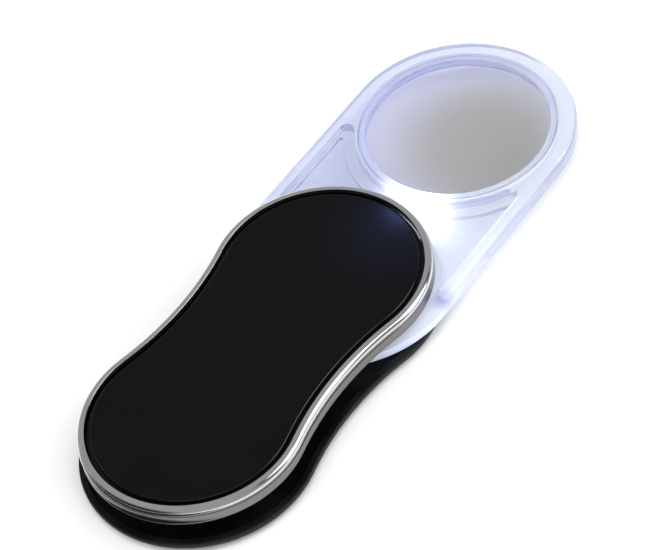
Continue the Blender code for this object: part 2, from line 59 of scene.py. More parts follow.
# %% [markdown]
# ## Sizes
#
# The handle is an hourglass: two round lobes joined by a concave waist. The bezel's box gives the
# lobes' spacing, and the swing joint gives the pivot. The few sizes that a box can't tell, such as the
# lobes' and the waist's radii and how deep the pockets are, are named here in millimetres.


# %% Read the driving sizes
def box_mm(node):
    """Lowest and highest corner of a node at rest, in millimetres."""
    low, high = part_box(node)
    return np.array(low) / MM, np.array(high) / MM


bezel_low, bezel_high = box_mm("bezel")
shell_low, shell_high = box_mm("shell")
frame_low, frame_high = box_mm("lens_frame")
panel_low, panel_high = box_mm("panel")
cover_low, cover_high = box_mm("top_cover")
lens_low, lens_high = box_mm("lens")
ring_low, ring_high = box_mm("lens_ring")
cap_low, cap_high = box_mm("battery_cap")
slip_low, slip_high = box_mm("slip_ring")
washer_low, washer_high = box_mm("wave_washer")

LOBE_RADIUS, WAIST_RADIUS, BEZEL_SPREAD = 24.6, 79.8, 1.9
FRONT_LOBE_Y = bezel_high[1] - LOBE_RADIUS - BEZEL_SPREAD
REAR_LOBE_Y = bezel_low[1] + LOBE_RADIUS + BEZEL_SPREAD
LOBE_SPACING = FRONT_LOBE_Y - REAR_LOBE_Y
PIVOT_Y = next(j for j in frame["joints"] if j["name"] == "frame_swing")["pos_m"][1] / MM
FRAME_RADIUS = frame_high[0]
LENS_Y = frame_high[1] - FRAME_RADIUS
HEEL_Y = frame_low[1] + FRAME_RADIUS


def spread(high):
    """How far a piece of the handle stands outside the line that all its outlines follow."""
    return high[1] - FRONT_LOBE_Y - LOBE_RADIUS


print(f"lobes {LOBE_SPACING:.1f} mm apart, lens centre at y {LENS_Y:.1f}")
print(f"the shell stands {spread(shell_high):.2f} mm outside the panel's line")

# %% [markdown]
# ## Outlines and skins
#
# Nearly every piece is a profile carried round an outline. An outline is a function of one number,
# the distance by which it stands outside its own line, and returns the same count of points each
# time. A profile is a list of (distance, height) pairs. Stacking the outlines gives a grid of points,
# and neighbours in the grid make the faces, so no loop over vertices is needed.


# %% Outlines as arrays
def arc(x, y, radius, start, end, steps, last=False):
    """Points (x + r cos a, y + r sin a) for evenly spaced a, in degrees; the end point only if last."""
    turn = np.radians(np.linspace(start, end, steps + 1))[: None if last else -1]
    return np.column_stack([x + radius * np.cos(turn), y + radius * np.sin(turn)])


def handle_outline(offset):
    """Two lobe arcs and two waist arcs that meet in common tangents, at a distance outside the line."""
    half = LOBE_SPACING / 2
    waist_x = math.sqrt((LOBE_RADIUS + WAIST_RADIUS) ** 2 - half**2)
    tilt = math.degrees(math.atan2(half, waist_x))
    middle = (FRONT_LOBE_Y + REAR_LOBE_Y) / 2
    lobe, waist = LOBE_RADIUS + offset, WAIST_RADIUS - offset
    return np.vstack(
        [
            arc(0, FRONT_LOBE_Y, lobe, -tilt, 180 + tilt, 120),
            arc(-waist_x, middle, waist, tilt, -tilt, 40),
            arc(0, REAR_LOBE_Y, lobe, 180 - tilt, 360 + tilt, 120),
            arc(waist_x, middle, waist, 180 + tilt, 180 - tilt, 40),
        ]
    )


def frame_outline(offset):
    """Two half circles joined by straight sides, which are cut in short steps so that faces stay even."""
    radius = FRAME_RADIUS + offset
    side = np.linspace(0, 1, 25)[1:-1, None]
    front = arc(0, LENS_Y, radius, 0, 180, 110, True)
    heel = arc(0, HEEL_Y, radius, 180, 360, 110, True)
    left = front[-1] + (heel[0] - front[-1]) * side
    right = heel[-1] + (front[0] - heel[-1]) * side
    return np.vstack([front, left, heel, right])


def circle(x=0.0, y=0.0, steps=160):
    """An outline whose distance is the circle's own radius."""
    return lambda radius: arc(x, y, radius, 0, 360, steps)


def fillet(distance, height, radius, start, end, steps=6):
    """Profile points on a quarter round: its centre, its radius and the angles that it runs between."""
    return arc(distance, height, radius, start, end, steps, True)


def length_of(plan):
    """Sum of the distances between neighbouring points of a closed plan."""
    return np.linalg.norm(np.roll(plan, -1, axis=0) - plan, axis=1).sum()


for title, outline in (("handle", handle_outline), ("frame", frame_outline)):
    print(f"{title} outline: {len(outline(0))} points, {length_of(outline(0)):.1f} mm round")


# %% [markdown]
# The skin below joins the rows of a grid. Its two open ends are closed with a flat face, or with a
# fan round one point when the shape ends in a pole. Whether the faces look outwards is measured: the
# volume summed over all faces is negative if they don't, and then every face is turned round.


# %% Grid to mesh
def volume_of(mesh):
    """Signed volume in cubic mm: the sum of a . (b x c) / 6 over triangles (a, b, c)."""
    mesh.calc_loop_triangles()
    corner = np.empty(len(mesh.vertices) * 3)
    mesh.vertices.foreach_get("co", corner)
    index = np.empty(len(mesh.loop_triangles) * 3, np.int32)
    mesh.loop_triangles.foreach_get("vertices", index)
    a, b, c = (corner / MM).reshape(-1, 3)[index.reshape(-1, 3)].transpose(1, 0, 2)
    return np.einsum("ij,ij->", a, np.cross(b, c)) / 6


def mesh_of(name, points, faces):
    """A mesh from points in millimetres, with every face turned outwards."""
    mesh = bpy.data.meshes.new(name)
    mesh.from_pydata(np.asarray(points) * MM, [], faces)
    mesh.update()
    mesh.validate()
    if volume_of(mesh) < 0:
        mesh.flip_normals()
    return mesh


def skin(name, rows, ring=False, poles=(None, None)):
    """Faces between neighbouring rows of a (rows, around, 3) grid, closed at both ends or as a ring."""
    rows = np.asarray(rows, float)
    high, around = rows.shape[:2]
    i, j = np.mgrid[0 : high if ring else high - 1, 0:around]
    k, up = (j + 1) % around, (i + 1) % high
    corners = [i * around + j, i * around + k, up * around + k, up * around + j]
    faces = np.stack(corners, -1).reshape(-1, 4).tolist()
    points = [rows.reshape(-1, 3)]
    for end, pole in zip((0, high - 1), poles):
        if ring:
            break
        edge = end * around + np.arange(around)
        if pole is None:
            faces.append((edge[::-1] if end == 0 else edge).tolist())
            continue
        tip = sum(len(p) for p in points)
        points.append(np.array([pole], float))
        fan = np.column_stack([edge, np.roll(edge, -1), np.full(around, tip)])
        faces += (fan[:, [1, 0, 2]] if end == 0 else fan).tolist()
    return mesh_of(name, np.vstack(points), faces)


def loft(name, outline, profile, ring=False, poles=(None, None)):
    """Carries a (distance, height) profile round an outline."""
    rows = []
    for distance, height in np.asarray(profile, float):
        plan = outline(distance)
        rows.append(np.column_stack([plan, np.full(len(plan), height)]))
    return skin(name, rows, ring, poles)


def plate(name, plan, bottom, top):
    """A plan raised straight up between two heights."""
    plan = np.asarray(plan, float)
    return loft(name, lambda _: plan, [(0, bottom), (0, top)])


def box_plan(x0, x1, y0, y1):
    """The four corners of a rectangle, anticlockwise."""
    return [(x0, y0), (x1, y0), (x1, y1), (x0, y1)]


print(f"a 2 x 3 x 4 mm block measures {volume_of(plate('block', box_plan(0, 2, 0, 3), 0, 4)):.1f} cubic mm")


def sector_plan(inner, outer, start, end, step=2.0):
    """Part of a flat ring about the pivot, between two angles in degrees."""
    steps = max(6, int(abs(end - start) / step))
    outside = arc(0, PIVOT_Y, outer, start, end, steps, True)
    inside = arc(0, PIVOT_Y, inner, end, start, steps, True)
    return np.vstack([outside, inside])


# %% [markdown]
# ## Making a piece of the model
#
# A piece is linked, carried by the body that the CAD node rides on, and told which node and which
# material slot it stands for. Where a moulding has pockets and holes, they are cut with Booleans and
# the result is written back as a plain mesh. Face-weighted normals then keep the flats flat up to
# the small rounds at their edges.


# %% Finishing helpers
BODY_OF = {node: body for body, nodes in frame["record"]["behaviour"]["bodies"].items() for node in nodes}
SLOT_OF = {row["node"]: row["material_slot"] for row in frame["record"]["subparts"]}


def link(name, mesh):
    """Puts a mesh in the scene as an object at the origin."""
    obj = bpy.data.objects.new(name, mesh)
    bpy.context.scene.collection.objects.link(obj)
    return obj


def carve(mesh, *steps):
    """Applies ("DIFFERENCE" or "UNION" or "INTERSECT", mesh) steps in order and returns the new mesh."""
    obj = link("blank", mesh)
    tools = []
    for operation, tool_mesh in steps:
        tool = link("tool", tool_mesh)
        modifier = obj.modifiers.new(operation, "BOOLEAN")
        modifier.operation, modifier.object, modifier.solver = operation, tool, "EXACT"
        tools.append(tool)
    graph = bpy.context.evaluated_depsgraph_get()
    result = bpy.data.meshes.new_from_object(obj.evaluated_get(graph))
    for used in [obj, *tools]:
        bpy.data.objects.remove(used)
    return result


def stand_for(node, mesh, sharp=34, weighted=True):
    """Makes the piece that is shown in place of a CAD node."""
    piece = link(node + "_skin", mesh)
    mesh.shade_smooth()
    mesh.set_sharp_from_angle(angle=math.radians(sharp))
    if weighted:
        modifier = piece.modifiers.new("Even normals", "WEIGHTED_NORMAL")
        modifier.keep_sharp = True
        modifier.weight = 80
    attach(piece, BODY_OF[node])
    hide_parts(node)
    pieces[node] = piece
    print(f"{piece.name}: {len(mesh.polygons)} faces, {volume_of(mesh):.1f} cubic mm")
    return piece


pieces = {}
print(f"{len(BODY_OF)} nodes ride on {len(set(BODY_OF.values()))} bodies")

# %% [markdown]
# ## Panel
#
# The panel is a polished inlay: flat, with a small bevel that catches a thin line of light and a
# crown too slight to see except in reflections. A bevelled box would do for the outline, but the
# crown needs rows of points that follow the edge, so the whole face is one profile carried round.


# %% Panel
def make_panel():
    """Face height = top - crown (1 - inward / reach)^2, level with the bevel at the edge and flat within."""
    edge = spread(panel_high)
    bottom, top = panel_low[2], panel_high[2]
    crown, reach, bevel, chamfer = 0.06, 20.0, 0.4, 0.2
    foot = [(edge - chamfer, bottom), (edge, bottom + chamfer)]
    rim = fillet(edge - bevel, top - crown - bevel, bevel, 0, 90, 8)
    inward = np.linspace(bevel, reach, 24)[1:]
    face = np.column_stack([edge - inward, top - crown * (1 - inward / reach) ** 2])
    profile = np.vstack([foot, rim, face])
    return stand_for("panel", loft("panel", handle_outline, profile), sharp=60, weighted=False)


make_panel()

# %% [markdown]
# ## Bezel
#
# The bezel is one plated moulding. Its section has a narrow lip round the panel, a full round that
# carries the main highlight, a fine groove, and a rolled foot. A curve with a round bevel would give
# only one tube. A profile that is a chain of arcs gives each highlight its own clean line.


# %% Bezel
def make_bezel():
    """Profile from the inside: flat lip with an eased edge, main round, groove, foot roll."""
    foot, top = bezel_low[2], bezel_high[2]
    ease, lip_width, round_radius, roll_radius, chamfer = 0.14, 0.42, 1.36, 0.80, 0.25
    lip = np.vstack([fillet(ease, top - ease, ease, 180, 90, 6), [(lip_width, top - 0.008)]])
    main = fillet(BEZEL_SPREAD - round_radius, top - 0.02 - round_radius, round_radius, 88, -34, 34)
    roll = fillet(BEZEL_SPREAD - 0.05 - roll_radius, foot + 0.04 + roll_radius, roll_radius, 22, -84, 18)
    wall = [(0.9, foot), (chamfer, foot), (0.0, foot + chamfer)]
    profile = np.vstack([lip, main, roll, wall])
    return stand_for("bezel", loft("bezel", handle_outline, profile, ring=True), sharp=50, weighted=False)


make_bezel()

# %% [markdown]
# ## The hub's sizes
#
# Two black mouldings hold everything: a cover above and a shell below. Each carries half of the hub
# that the lens frame turns on, so the hub's sizes are named once for both.

# %% Shared hub sizes
HUB_RADIUS, HUB_BORE = 19.4, 17.6
HUB_SPLIT = cover_low[2] + 2.9
LEDGE_RADIUS = washer_high[0] + 0.2
LEDGE_TOP, DECK_TOP, SHELL_FLOOR = 2.6, 2.5, 1.4
SHELL_RIM = 3.1
COVER_BOTTOM = bezel_low[2]
COVER_TOP = cover_high[2]
SCREW_SPOTS = [np.mean(box_mm(f"hub_screw_{n}"), axis=0)[:2] for n in (1, 2, 3, 4)]
STOP_ANGLE, STOP_HALF_WIDTH = 270, 5
print("hub splits at", round(HUB_SPLIT, 2), "screws at", [s.round(1).tolist() for s in SCREW_SPOTS])


def round_post(radius, bottom, top, spot=(0, None), steps=160, soft=0.0):
    """A cylinder about the pivot or another spot, with its rims eased by a small fillet."""
    x, y = spot[0], PIVOT_Y if spot[1] is None else spot[1]
    if soft:
        low = fillet(radius - soft, bottom + soft, soft, -90, 0, 4)
        high = fillet(radius - soft, top - soft, soft, 0, 90, 4)
        profile = np.vstack([low, high])
    else:
        profile = [(radius, bottom), (radius, top)]
    return loft("post", circle(x, y, steps), profile)


# %% [markdown]
# ## Top cover
#
# The cover is a thin tray open downwards, with the upper half of the hub and four screw bosses under
# it. Only its rim and the groove round the panel show, but the slot below it can be looked into when
# the lens is out, so the hub and the walls are all there. The tray is one carried profile, and
# Booleans join the round pieces to it, as one moulding has them joined.


# %% Top cover
def make_top_cover():
    """Tray section: inside wall, round lower edge, outside wall, round upper edge; the flats close it."""
    outer = spread(cover_high)
    side_wall, top_wall, soft = 1.2, 1.1, 0.25
    inner, ceiling = outer - side_wall, COVER_TOP - top_wall
    profile = np.vstack(
        [
            [(inner, ceiling), (inner, COVER_BOTTOM + soft)],
            fillet(inner + soft, COVER_BOTTOM + soft, soft, 180, 270, 4),
            fillet(outer - soft, COVER_BOTTOM + soft, soft, 270, 360, 4),
            fillet(outer - soft, COVER_TOP - soft, soft, 0, 90, 4),
        ]
    )
    tray = loft("cover", handle_outline, profile)
    flange = carve(
        round_post(LEDGE_RADIUS, COVER_BOTTOM, ceiling + 0.5),
        ("INTERSECT", plate("trim", handle_outline(outer - 0.5), 0, 20)),
    )
    boss_radius, pilot_radius, boss_low = 1.9, 1.0, DECK_TOP + 0.3
    bosses = [round_post(boss_radius, boss_low, ceiling + 0.5, spot, 32) for spot in SCREW_SPOTS]
    pilots = [round_post(pilot_radius, 0, ceiling - 1, spot, 24) for spot in SCREW_SPOTS]
    hub_low, lamp_half, lamp_low, lamp_high = 5.8, 2.1, 4.7, 8.85
    window_plan = box_plan(-lamp_half, lamp_half, PIVOT_Y + HUB_BORE - 2, PIVOT_Y + HUB_RADIUS + 6)
    window = plate("window", window_plan, lamp_low, lamp_high)
    mesh = carve(
        tray,
        ("UNION", flange),
        ("UNION", round_post(HUB_RADIUS, hub_low, ceiling + 0.4, soft=0.2)),
        ("DIFFERENCE", round_post(HUB_BORE, 0, ceiling)),
        *[("UNION", boss) for boss in bosses],
        *[("DIFFERENCE", pilot) for pilot in pilots],
        ("DIFFERENCE", window),
    )
    return stand_for("top_cover", mesh)


make_top_cover()


# %% [markdown]
# ## Shell
#
# The shell's underside carries the coin-turn battery cap and four screws. Its outer edge is one
# generous round, which is why the handle looks thinner than it is. The mouths of the screw holes and
# of the cap's opening are eased with small flares, as a moulding's are.


# %% Shell
def make_shell():
    """Tray section: one big round up the outside, a soft rim, then down the inside to the floor."""
    outside, round_low, wall = spread(shell_high), 2.4, 1.7
    inside, soft = outside - wall, 0.25
    profile = np.vstack(
        [
            fillet(outside - round_low, round_low, round_low, -90, 0, 18),
            fillet(outside - 0.1 - soft, SHELL_RIM - soft, soft, 10, 90, 5),
            fillet(inside + soft, SHELL_RIM - soft, soft, 90, 180, 5),
            fillet(inside - 0.1 - 0.5, SHELL_FLOOR + 0.5, 0.5, 0, -90, 5)[:1],
            [(inside - 0.35, SHELL_FLOOR + 0.15), (inside - 0.9, SHELL_FLOOR)],
        ]
    )
    tray = loft("shell", handle_outline, profile)
    hub_top, well, well_wall, well_top = 5.6, 10.6, 1.2, 5.2
    cap_bore, track, flare, notch_half = 12.2, 13.25, 0.3, 18
    stop = sector_plan(
        HUB_RADIUS - 0.6, HUB_RADIUS + 1.2, STOP_ANGLE - STOP_HALF_WIDTH, STOP_ANGLE + STOP_HALF_WIDTH
    )
    bore = loft(
        "bore",
        circle(0, PIVOT_Y),
        [
            (cap_bore + 1, -1),
            (cap_bore + flare, -0.001),
            (cap_bore + 0.08, 0.14),
            (cap_bore, 0.3),
            (cap_bore, 0.9),
        ],
    )
    holes = []
    for x, y in SCREW_SPOTS:
        head_hole, shank_hole = 1.8, 1.1
        mouth = [(3.0, -1), (head_hole + 0.25, -0.001), (head_hole + 0.05, 0.12), (head_hole, 0.25)]
        holes.append(loft("sunk", circle(x, y, 40), [*mouth, (head_hole, 1.15)]))
        holes.append(round_post(shank_hole, 1, DECK_TOP + 1, (x, y), 32))
    notches = [
        plate("notch", sector_plan(cap_bore - 0.5, track, a - notch_half, a + notch_half), -1, 1.2)
        for a in (60, 240)
    ]
    mesh = carve(
        tray,
        ("UNION", round_post(LEDGE_RADIUS, 0.6, LEDGE_TOP, soft=0.15)),
        ("UNION", round_post(HUB_RADIUS, 0.7, hub_top, soft=0.2)),
        ("UNION", plate("stop", stop, 3.65, 5.45)),
        ("DIFFERENCE", round_post(HUB_BORE, DECK_TOP, 20)),
        ("UNION", round_post(well + well_wall, DECK_TOP - 0.4, well_top, soft=0.1)),
        ("DIFFERENCE", bore),
        ("DIFFERENCE", round_post(track, 0.8, 1.75)),
        ("DIFFERENCE", round_post(well, 1.5, 20)),
        ("DIFFERENCE", plate("gap", box_plan(-2, 2, PIVOT_Y - well - 2, PIVOT_Y - well + 2), 2.6, 6.2)),
        *[("DIFFERENCE", tool) for tool in notches + holes + wiper_tunnels()],
    )
    return stand_for("shell", mesh)


def wiper_tunnels():
    """Two flat channels under the ledge, and their wells, that the switch wipers lie in."""
    tools = []
    for degrees in (262, 278):
        turn = Matrix.Rotation(math.radians(degrees), 4, "Z")
        place = Matrix.Translation((0, PIVOT_Y * MM, 0)) @ turn
        for x0, x1, bottom, top in ((12.6, LEDGE_RADIUS + 1, 1.5, 2.4), (12.7, 14.3, 1.55, 3.5)):
            tool = plate("tunnel", box_plan(x0, x1, -1.1, 1.1), bottom, top)
            tool.transform(place)
            tools.append(tool)
    return tools


make_shell()

# %% [markdown]
# ## Battery cap
#
# The cap is turned with a coin, so its slot is wide and has round ends. Two lugs hold it under a
# track in the shell until it is turned to the notches. It is a turned shape, so its section is
# carried round a circle, and the lugs and the slot are a union and a cut.


# %% Battery cap
def make_battery_cap():
    """Disc section: a face recessed inside its rim, a soft edge, then a step in to the plug above."""
    face, top = cap_low[2], cap_high[2]
    radius, lug_radius, lug_half = cap_high[1] - PIVOT_Y, cap_high[0], 16
    soft = 0.25
    profile = np.vstack(
        [
            [(radius - 1.6, face + 0.12), (radius - 1.1, face + 0.1), (radius - 0.9, face)],
            fillet(radius - soft, face + soft, soft, -90, 0, 5),
            [(radius, 0.9), (radius - 0.35, 0.92), (radius - 0.35, top)],
        ]
    )
    disc = loft("cap", circle(0, PIVOT_Y, 200), profile)
    lugs = [
        plate("lug", sector_plan(radius - 1.5, lug_radius, a - lug_half, a + lug_half), 0.98, top - 0.001)
        for a in (0, 180)
    ]
    half_length, half_width = 7.5, 0.9
    slot = np.vstack(
        [
            arc(half_length - half_width, PIVOT_Y, half_width, -90, 90, 16, True),
            arc(half_width - half_length, PIVOT_Y, half_width, 90, 270, 16, True),
        ]
    )
    mesh = carve(
        disc,
        *[("UNION", lug) for lug in lugs],
        ("DIFFERENCE", plate("coin_slot", slot, -1, 0.75)),
    )
    return stand_for("battery_cap", mesh)


make_battery_cap()

# %% [markdown]
# ## Screws
#
# A screw head is a low dome with a cross sunk in it. The thread is drawn as plain ridges that don't
# climb, because it is buried in the boss and a helix would only add faces.


# %% Screws
def make_screw(number, spot):
    """Shank radius = 0.78 and 0.69 by turns, which draws the ridges; the cross narrows as it goes in."""
    low, high = box_mm(f"hub_screw_{number}")
    x, y = spot
    head, neck, shank = low[2], 0.95, 0.78
    turns = np.linspace(neck + 0.4, high[2] - 0.8, 61)
    thread = shank - 0.09 * (np.arange(61) % 2)
    profile = np.vstack(
        [
            [(0.7, head), (1.15, head + 0.05), (1.4, head + 0.16), (1.5, head + 0.32), (1.5, neck)],
            [(shank, neck + 0.02)],
            np.column_stack([thread, turns]),
            [(0.35, high[2])],
        ]
    )
    blank = loft("screw", circle(x, y, 40), profile)
    bars = []
    for wide, deep in ((1.0, 0.17), (0.17, 1.0)):
        rows = []
        for scale, height in ((1.0, -0.5), (0.55, 0.68)):
            w, d = wide * scale, deep * scale
            rows.append(np.column_stack([np.array(box_plan(x - w, x + w, y - d, y + d)), np.full(4, height)]))
        bars.append(skin("bar", rows))
    return stand_for(f"hub_screw_{number}", carve(blank, *[("DIFFERENCE", bar) for bar in bars]))


for number, spot in enumerate(SCREW_SPOTS, 1):
    make_screw(number, spot)


# %% [markdown]
# ## Slip ring and wave washer
#
# Both lie round the hub and show only as thin lines in the slot. The slip ring is flat, with a gap
# for the lamp's light. The washer's height follows a cosine with three waves to the turn, which is
# what makes it springy, so it is a grid with a formula rather than a bent ring.


# %% Rings round the hub
def make_slip_ring():
    """A flat ring about the pivot, from 125 to 415 degrees, open in front of the lamp."""
    plan = sector_plan(HUB_RADIUS + 0.7, LEDGE_RADIUS, 125, 415, step=1.5)
    return stand_for("slip_ring", plate("slip", plan, slip_low[2], slip_high[2]))


def make_wave_washer():
    """Height = middle + wave cos 3a on a ring of rectangular section."""
    inner, outer, thickness = HUB_RADIUS + 0.7, washer_high[0], 0.25
    wave = (washer_high[2] - washer_low[2] - thickness) / 2
    middle = (washer_high[2] + washer_low[2]) / 2
    rows = []
    for radius, side in ((inner, -1), (outer, -1), (outer, 1), (inner, 1)):
        plan = arc(0, PIVOT_Y, radius, 0, 360, 180)
        turn = np.arctan2(plan[:, 1] - PIVOT_Y, plan[:, 0])
        rows.append(np.column_stack([plan, middle + wave * np.cos(3 * turn) + side * thickness / 2]))
    return stand_for("wave_washer", skin("washer", rows, ring=True))


make_slip_ring()
make_wave_washer()

# %% [markdown]
# ## The clear frame
#
# One clear moulding: a plate round the hub, two ribs along the sides, a raised seat round the lens,
# and two sunk pockets between them. Light shows a clear part by its edges, so the small rounds matter
# more here than anywhere else. Each cutter carries the round itself: its lower rim is rounded, which
# leaves a fillet on the pocket's floor, and its upper rim flares, which eases the pocket's mouth.

# %% Frame levels
PLATE_RADIUS, SEAT_WALL, SEAT_FOOT, RIB_INNER = 25.9, 25.3, 28.3, 25.6
FRAME_BOTTOM, FRAME_TOP = frame_low[2], frame_high[2]
POCKET_FLOOR, FOOT_TOP, PLATE_TOP = FRAME_BOTTOM + 0.75, FRAME_BOTTOM + 1.65, FRAME_BOTTOM + 2.35
RIB_END_Y = PIVOT_Y + 5.5
EDGE = 1.4
LEVELS = (FRAME_BOTTOM, POCKET_FLOOR, FOOT_TOP, PLATE_TOP, FRAME_TOP)
print("frame levels:", [round(float(level), 2) for level in LEVELS])

# %% [markdown]
# The cutters are lofts too. Their plan is moved outwards or inwards row by row, along each point's
# mean normal, which keeps the round at the pocket's floor the same size all the way round.


# %% Cutters with rounded rims
def offset_plan(plan, distance):
    """Moves each point of a closed plan outwards along the mean of its two edges' normals."""
    plan = np.asarray(plan, float)
    edge = np.roll(plan, -1, axis=0) - plan
    normal = np.column_stack([edge[:, 1], -edge[:, 0]])
    normal /= np.linalg.norm(normal, axis=1, keepdims=True)
    mean = normal + np.roll(normal, 1, axis=0)
    mean /= np.maximum(np.linalg.norm(mean, axis=1, keepdims=True), 1e-9)
    reach = 1 / np.maximum((mean * normal).sum(axis=1, keepdims=True), 0.5)
    return plan + mean * reach * distance


def pocket_cutter(plan, floor, mouth, floor_round=0.3, mouth_round=0.22):
    """Straight sides between a rounded floor edge and a flared mouth, standing up past the mouth."""
    low = fillet(-floor_round, floor + floor_round, floor_round, -90, 0, 4)
    high = fillet(mouth_round, mouth - mouth_round, mouth_round, 180, 96, 4)
    profile = np.vstack([low, high, [(mouth_round + 0.1, mouth + 0.02), (mouth_round + 0.1, mouth + 2)]])
    return loft("pocket", lambda d: offset_plan(plan, d), profile)


def deep_cutter(plan, ease=0.2):
    """Rounded floor edge and flared mouth, closed again just above the mouth so that nothing else is cut."""
    low = fillet(-ease, POCKET_FLOOR + ease, ease, -90, 0, 4)
    high = fillet(ease, FOOT_TOP - ease, ease, 180, 96, 4)
    profile = np.vstack([low, high, [(ease, FOOT_TOP + 0.03), (-ease, FOOT_TOP + 0.2)]])
    return loft("deep", lambda d: offset_plan(plan, d), profile)


square = np.array(box_plan(-1, 1, -1, 1), float)
print("a square of side 2 moved out by 1 has sides of", np.ptp(offset_plan(square, 1.0), axis=0))

# %% [markdown]
# A pocket lies between two circles, the hub's and the lens's, and the rib's straight face. Each of
# its corners is a small round that touches both neighbours, and where its centre lies follows from
# Pythagoras: it stands the circle's radius plus its own from the circle's centre.


# %% Plans of the pockets
def angle_to(a, b):
    """Direction from point a to point b, in degrees."""
    return math.degrees(math.atan2(b[1] - a[1], b[0] - a[0]))


def beside_rib(center_y, radius, side, rib, corner):
    """Centre of a corner round that touches the rib's face and a circle; side is 1 beyond it, -1 before."""
    x = rib - corner
    return x, center_y + side * math.sqrt((radius + corner) ** 2 - x**2)


def pocket_plan(near=0.6, far=2.0):
    """Outside the hub plate and the seat wall, inside the ribs; each corner is an arc tangent to both."""
    hub, lens = (0, PIVOT_Y), (0, LENS_Y)
    a = beside_rib(PIVOT_Y, PLATE_RADIUS, 1, RIB_INNER, near)
    b = beside_rib(LENS_Y, SEAT_WALL, -1, RIB_INNER, far)
    low, high = angle_to(hub, a), angle_to(lens, b)
    right = [arc(*a, near, 180 + low, 360, 12, True), arc(*b, far, 0, 180 + high, 18, True)]
    left = [np.array([-1, 1]) * part[::-1] for part in reversed(right)]
    hub_side = arc(*hub, PLATE_RADIUS, 180 - low, low, 90, True)[1:-1]
    lens_side = arc(*lens, SEAT_WALL, high, -180 - high, 90, True)[1:-1]
    return np.vstack([hub_side, *right, lens_side, *left])


def deep_plan(corner=0.6, ledge=0.4):
    """The right side's sunk floor: outside the hub plate and the seat's foot, inside the rib, by a ledge."""
    hub, lens, rib, hub_radius = (0, PIVOT_Y), (0, LENS_Y), RIB_INNER - ledge, PLATE_RADIUS + ledge
    a = beside_rib(PIVOT_Y, hub_radius, 1, rib, corner)
    b = beside_rib(LENS_Y, SEAT_FOOT, -1, rib, corner)
    gap, one, two = LENS_Y - PIVOT_Y, hub_radius + corner, SEAT_FOOT + corner
    along = (one**2 - two**2 + gap**2) / (2 * gap)
    c = (math.sqrt(one**2 - along**2), PIVOT_Y + along)
    return np.vstack(
        [
            arc(*hub, hub_radius, angle_to(hub, c), angle_to(hub, a), 50),
            arc(*a, corner, 180 + angle_to(hub, a), 360, 12, True),
            arc(*b, corner, 0, 180 + angle_to(lens, b), 12),
            arc(*lens, SEAT_FOOT, angle_to(lens, b), angle_to(lens, c), 50),
            arc(*c, corner, 180 + angle_to(lens, c), 180 + angle_to(hub, c), 12),
        ]
    )


def rear_plan(end_y):
    """All that lies behind the ribs, whose ends are half rounds."""
    middle, half = (RIB_INNER + FRAME_RADIUS) / 2, (FRAME_RADIUS - RIB_INNER) / 2
    ends = arc(middle, end_y + half, half, 0, -180, 24, True)
    mirrored = np.array([-1, 1]) * ends[::-1]
    back = [(-40, end_y + half), (-40, PIVOT_Y - 40), (40, PIVOT_Y - 40), (40, end_y + half)]
    return np.vstack([ends, mirrored, back])


print(f"pocket {length_of(pocket_plan()):.0f} mm round, sunk floor {length_of(deep_plan()):.0f} mm each side")

# %% [markdown]
# The frame itself is one blank with a large round on its upper edge, from which the cutters take the
# hub plate, the pockets, the bore, the lens seat and the slot that the swing's stop runs in. One
# moulding cut by exact Booleans stays one closed surface, which a clear material needs.


# %% Lens frame
def make_lens_frame():
    """Blank section: small round below, large round above. The cutters take everything else from it."""
    soft = 0.3
    profile = np.vstack(
        [
            fillet(-soft, FRAME_BOTTOM + soft, soft, -90, 0, 4),
            fillet(-EDGE, FRAME_TOP - EDGE, EDGE, 0, 90, 14),
        ]
    )
    blank = loft("frame", frame_outline, profile)
    bore, seat_bore, window, lip = HUB_RADIUS + 0.4, 24.4, 22.6, 4.6
    hub_plate = pocket_cutter(arc(0, PIVOT_Y, PLATE_RADIUS + 0.4, 0, 360, 220), PLATE_TOP, FRAME_TOP)
    rear = pocket_cutter(rear_plan(RIB_END_Y), PLATE_TOP, FRAME_TOP, 0.25, 0.2)
    seat = loft(
        "seat",
        circle(0, LENS_Y, 200),
        np.vstack(
            [
                [(seat_bore, lip), (seat_bore, FRAME_TOP - 0.2)],
                fillet(seat_bore + 0.2, FRAME_TOP - 0.2, 0.2, 180, 96, 4),
                [(seat_bore + 0.3, FRAME_TOP + 0.02), (seat_bore + 0.3, FRAME_TOP + 3)],
            ]
        ),
    )
    mouth = loft(
        "mouth",
        circle(0, LENS_Y, 200),
        [
            (window + 0.5, 0),
            (window + 0.4, FRAME_BOTTOM - 0.01),
            (window + 0.1, FRAME_BOTTOM + 0.12),
            (window, FRAME_BOTTOM + 0.3),
            (window, 12),
        ],
    )
    stop_slot = sector_plan(HUB_RADIUS - 1, HUB_RADIUS + 1.5, 84.2, 275.8)
    strip_slot = sector_plan(22.3, 24.4, 241, 299)
    right = deep_plan()
    deep = [deep_cutter(plan) for plan in (right, np.array([-1, 1]) * right[::-1])]
    mesh = carve(
        blank,
        ("DIFFERENCE", rear),
        ("DIFFERENCE", hub_plate),
        ("DIFFERENCE", pocket_cutter(pocket_plan(), FOOT_TOP, FRAME_TOP)),
        *[("DIFFERENCE", tool) for tool in deep],
        ("DIFFERENCE", round_post(bore, 0, 12)),
        ("DIFFERENCE", plate("slot", stop_slot, 0, 12.5)),
        ("DIFFERENCE", seat),
        ("DIFFERENCE", mouth),
        ("DIFFERENCE", plate("strip_slot", strip_slot, 0, FRAME_BOTTOM + 0.4)),
    )
    return stand_for("lens_frame", mesh, sharp=30)


make_lens_frame()

# %% [markdown]
# ## Lens
#
# Both faces of the lens are parts of one large sphere. The height of such a cap at distance r from
# the axis is R minus the root of R squared minus r squared, and R follows from the lens's width and
# thickness. A cut from a real sphere would waste faces where the lens is flat, so the rings are
# closer together near the rim.


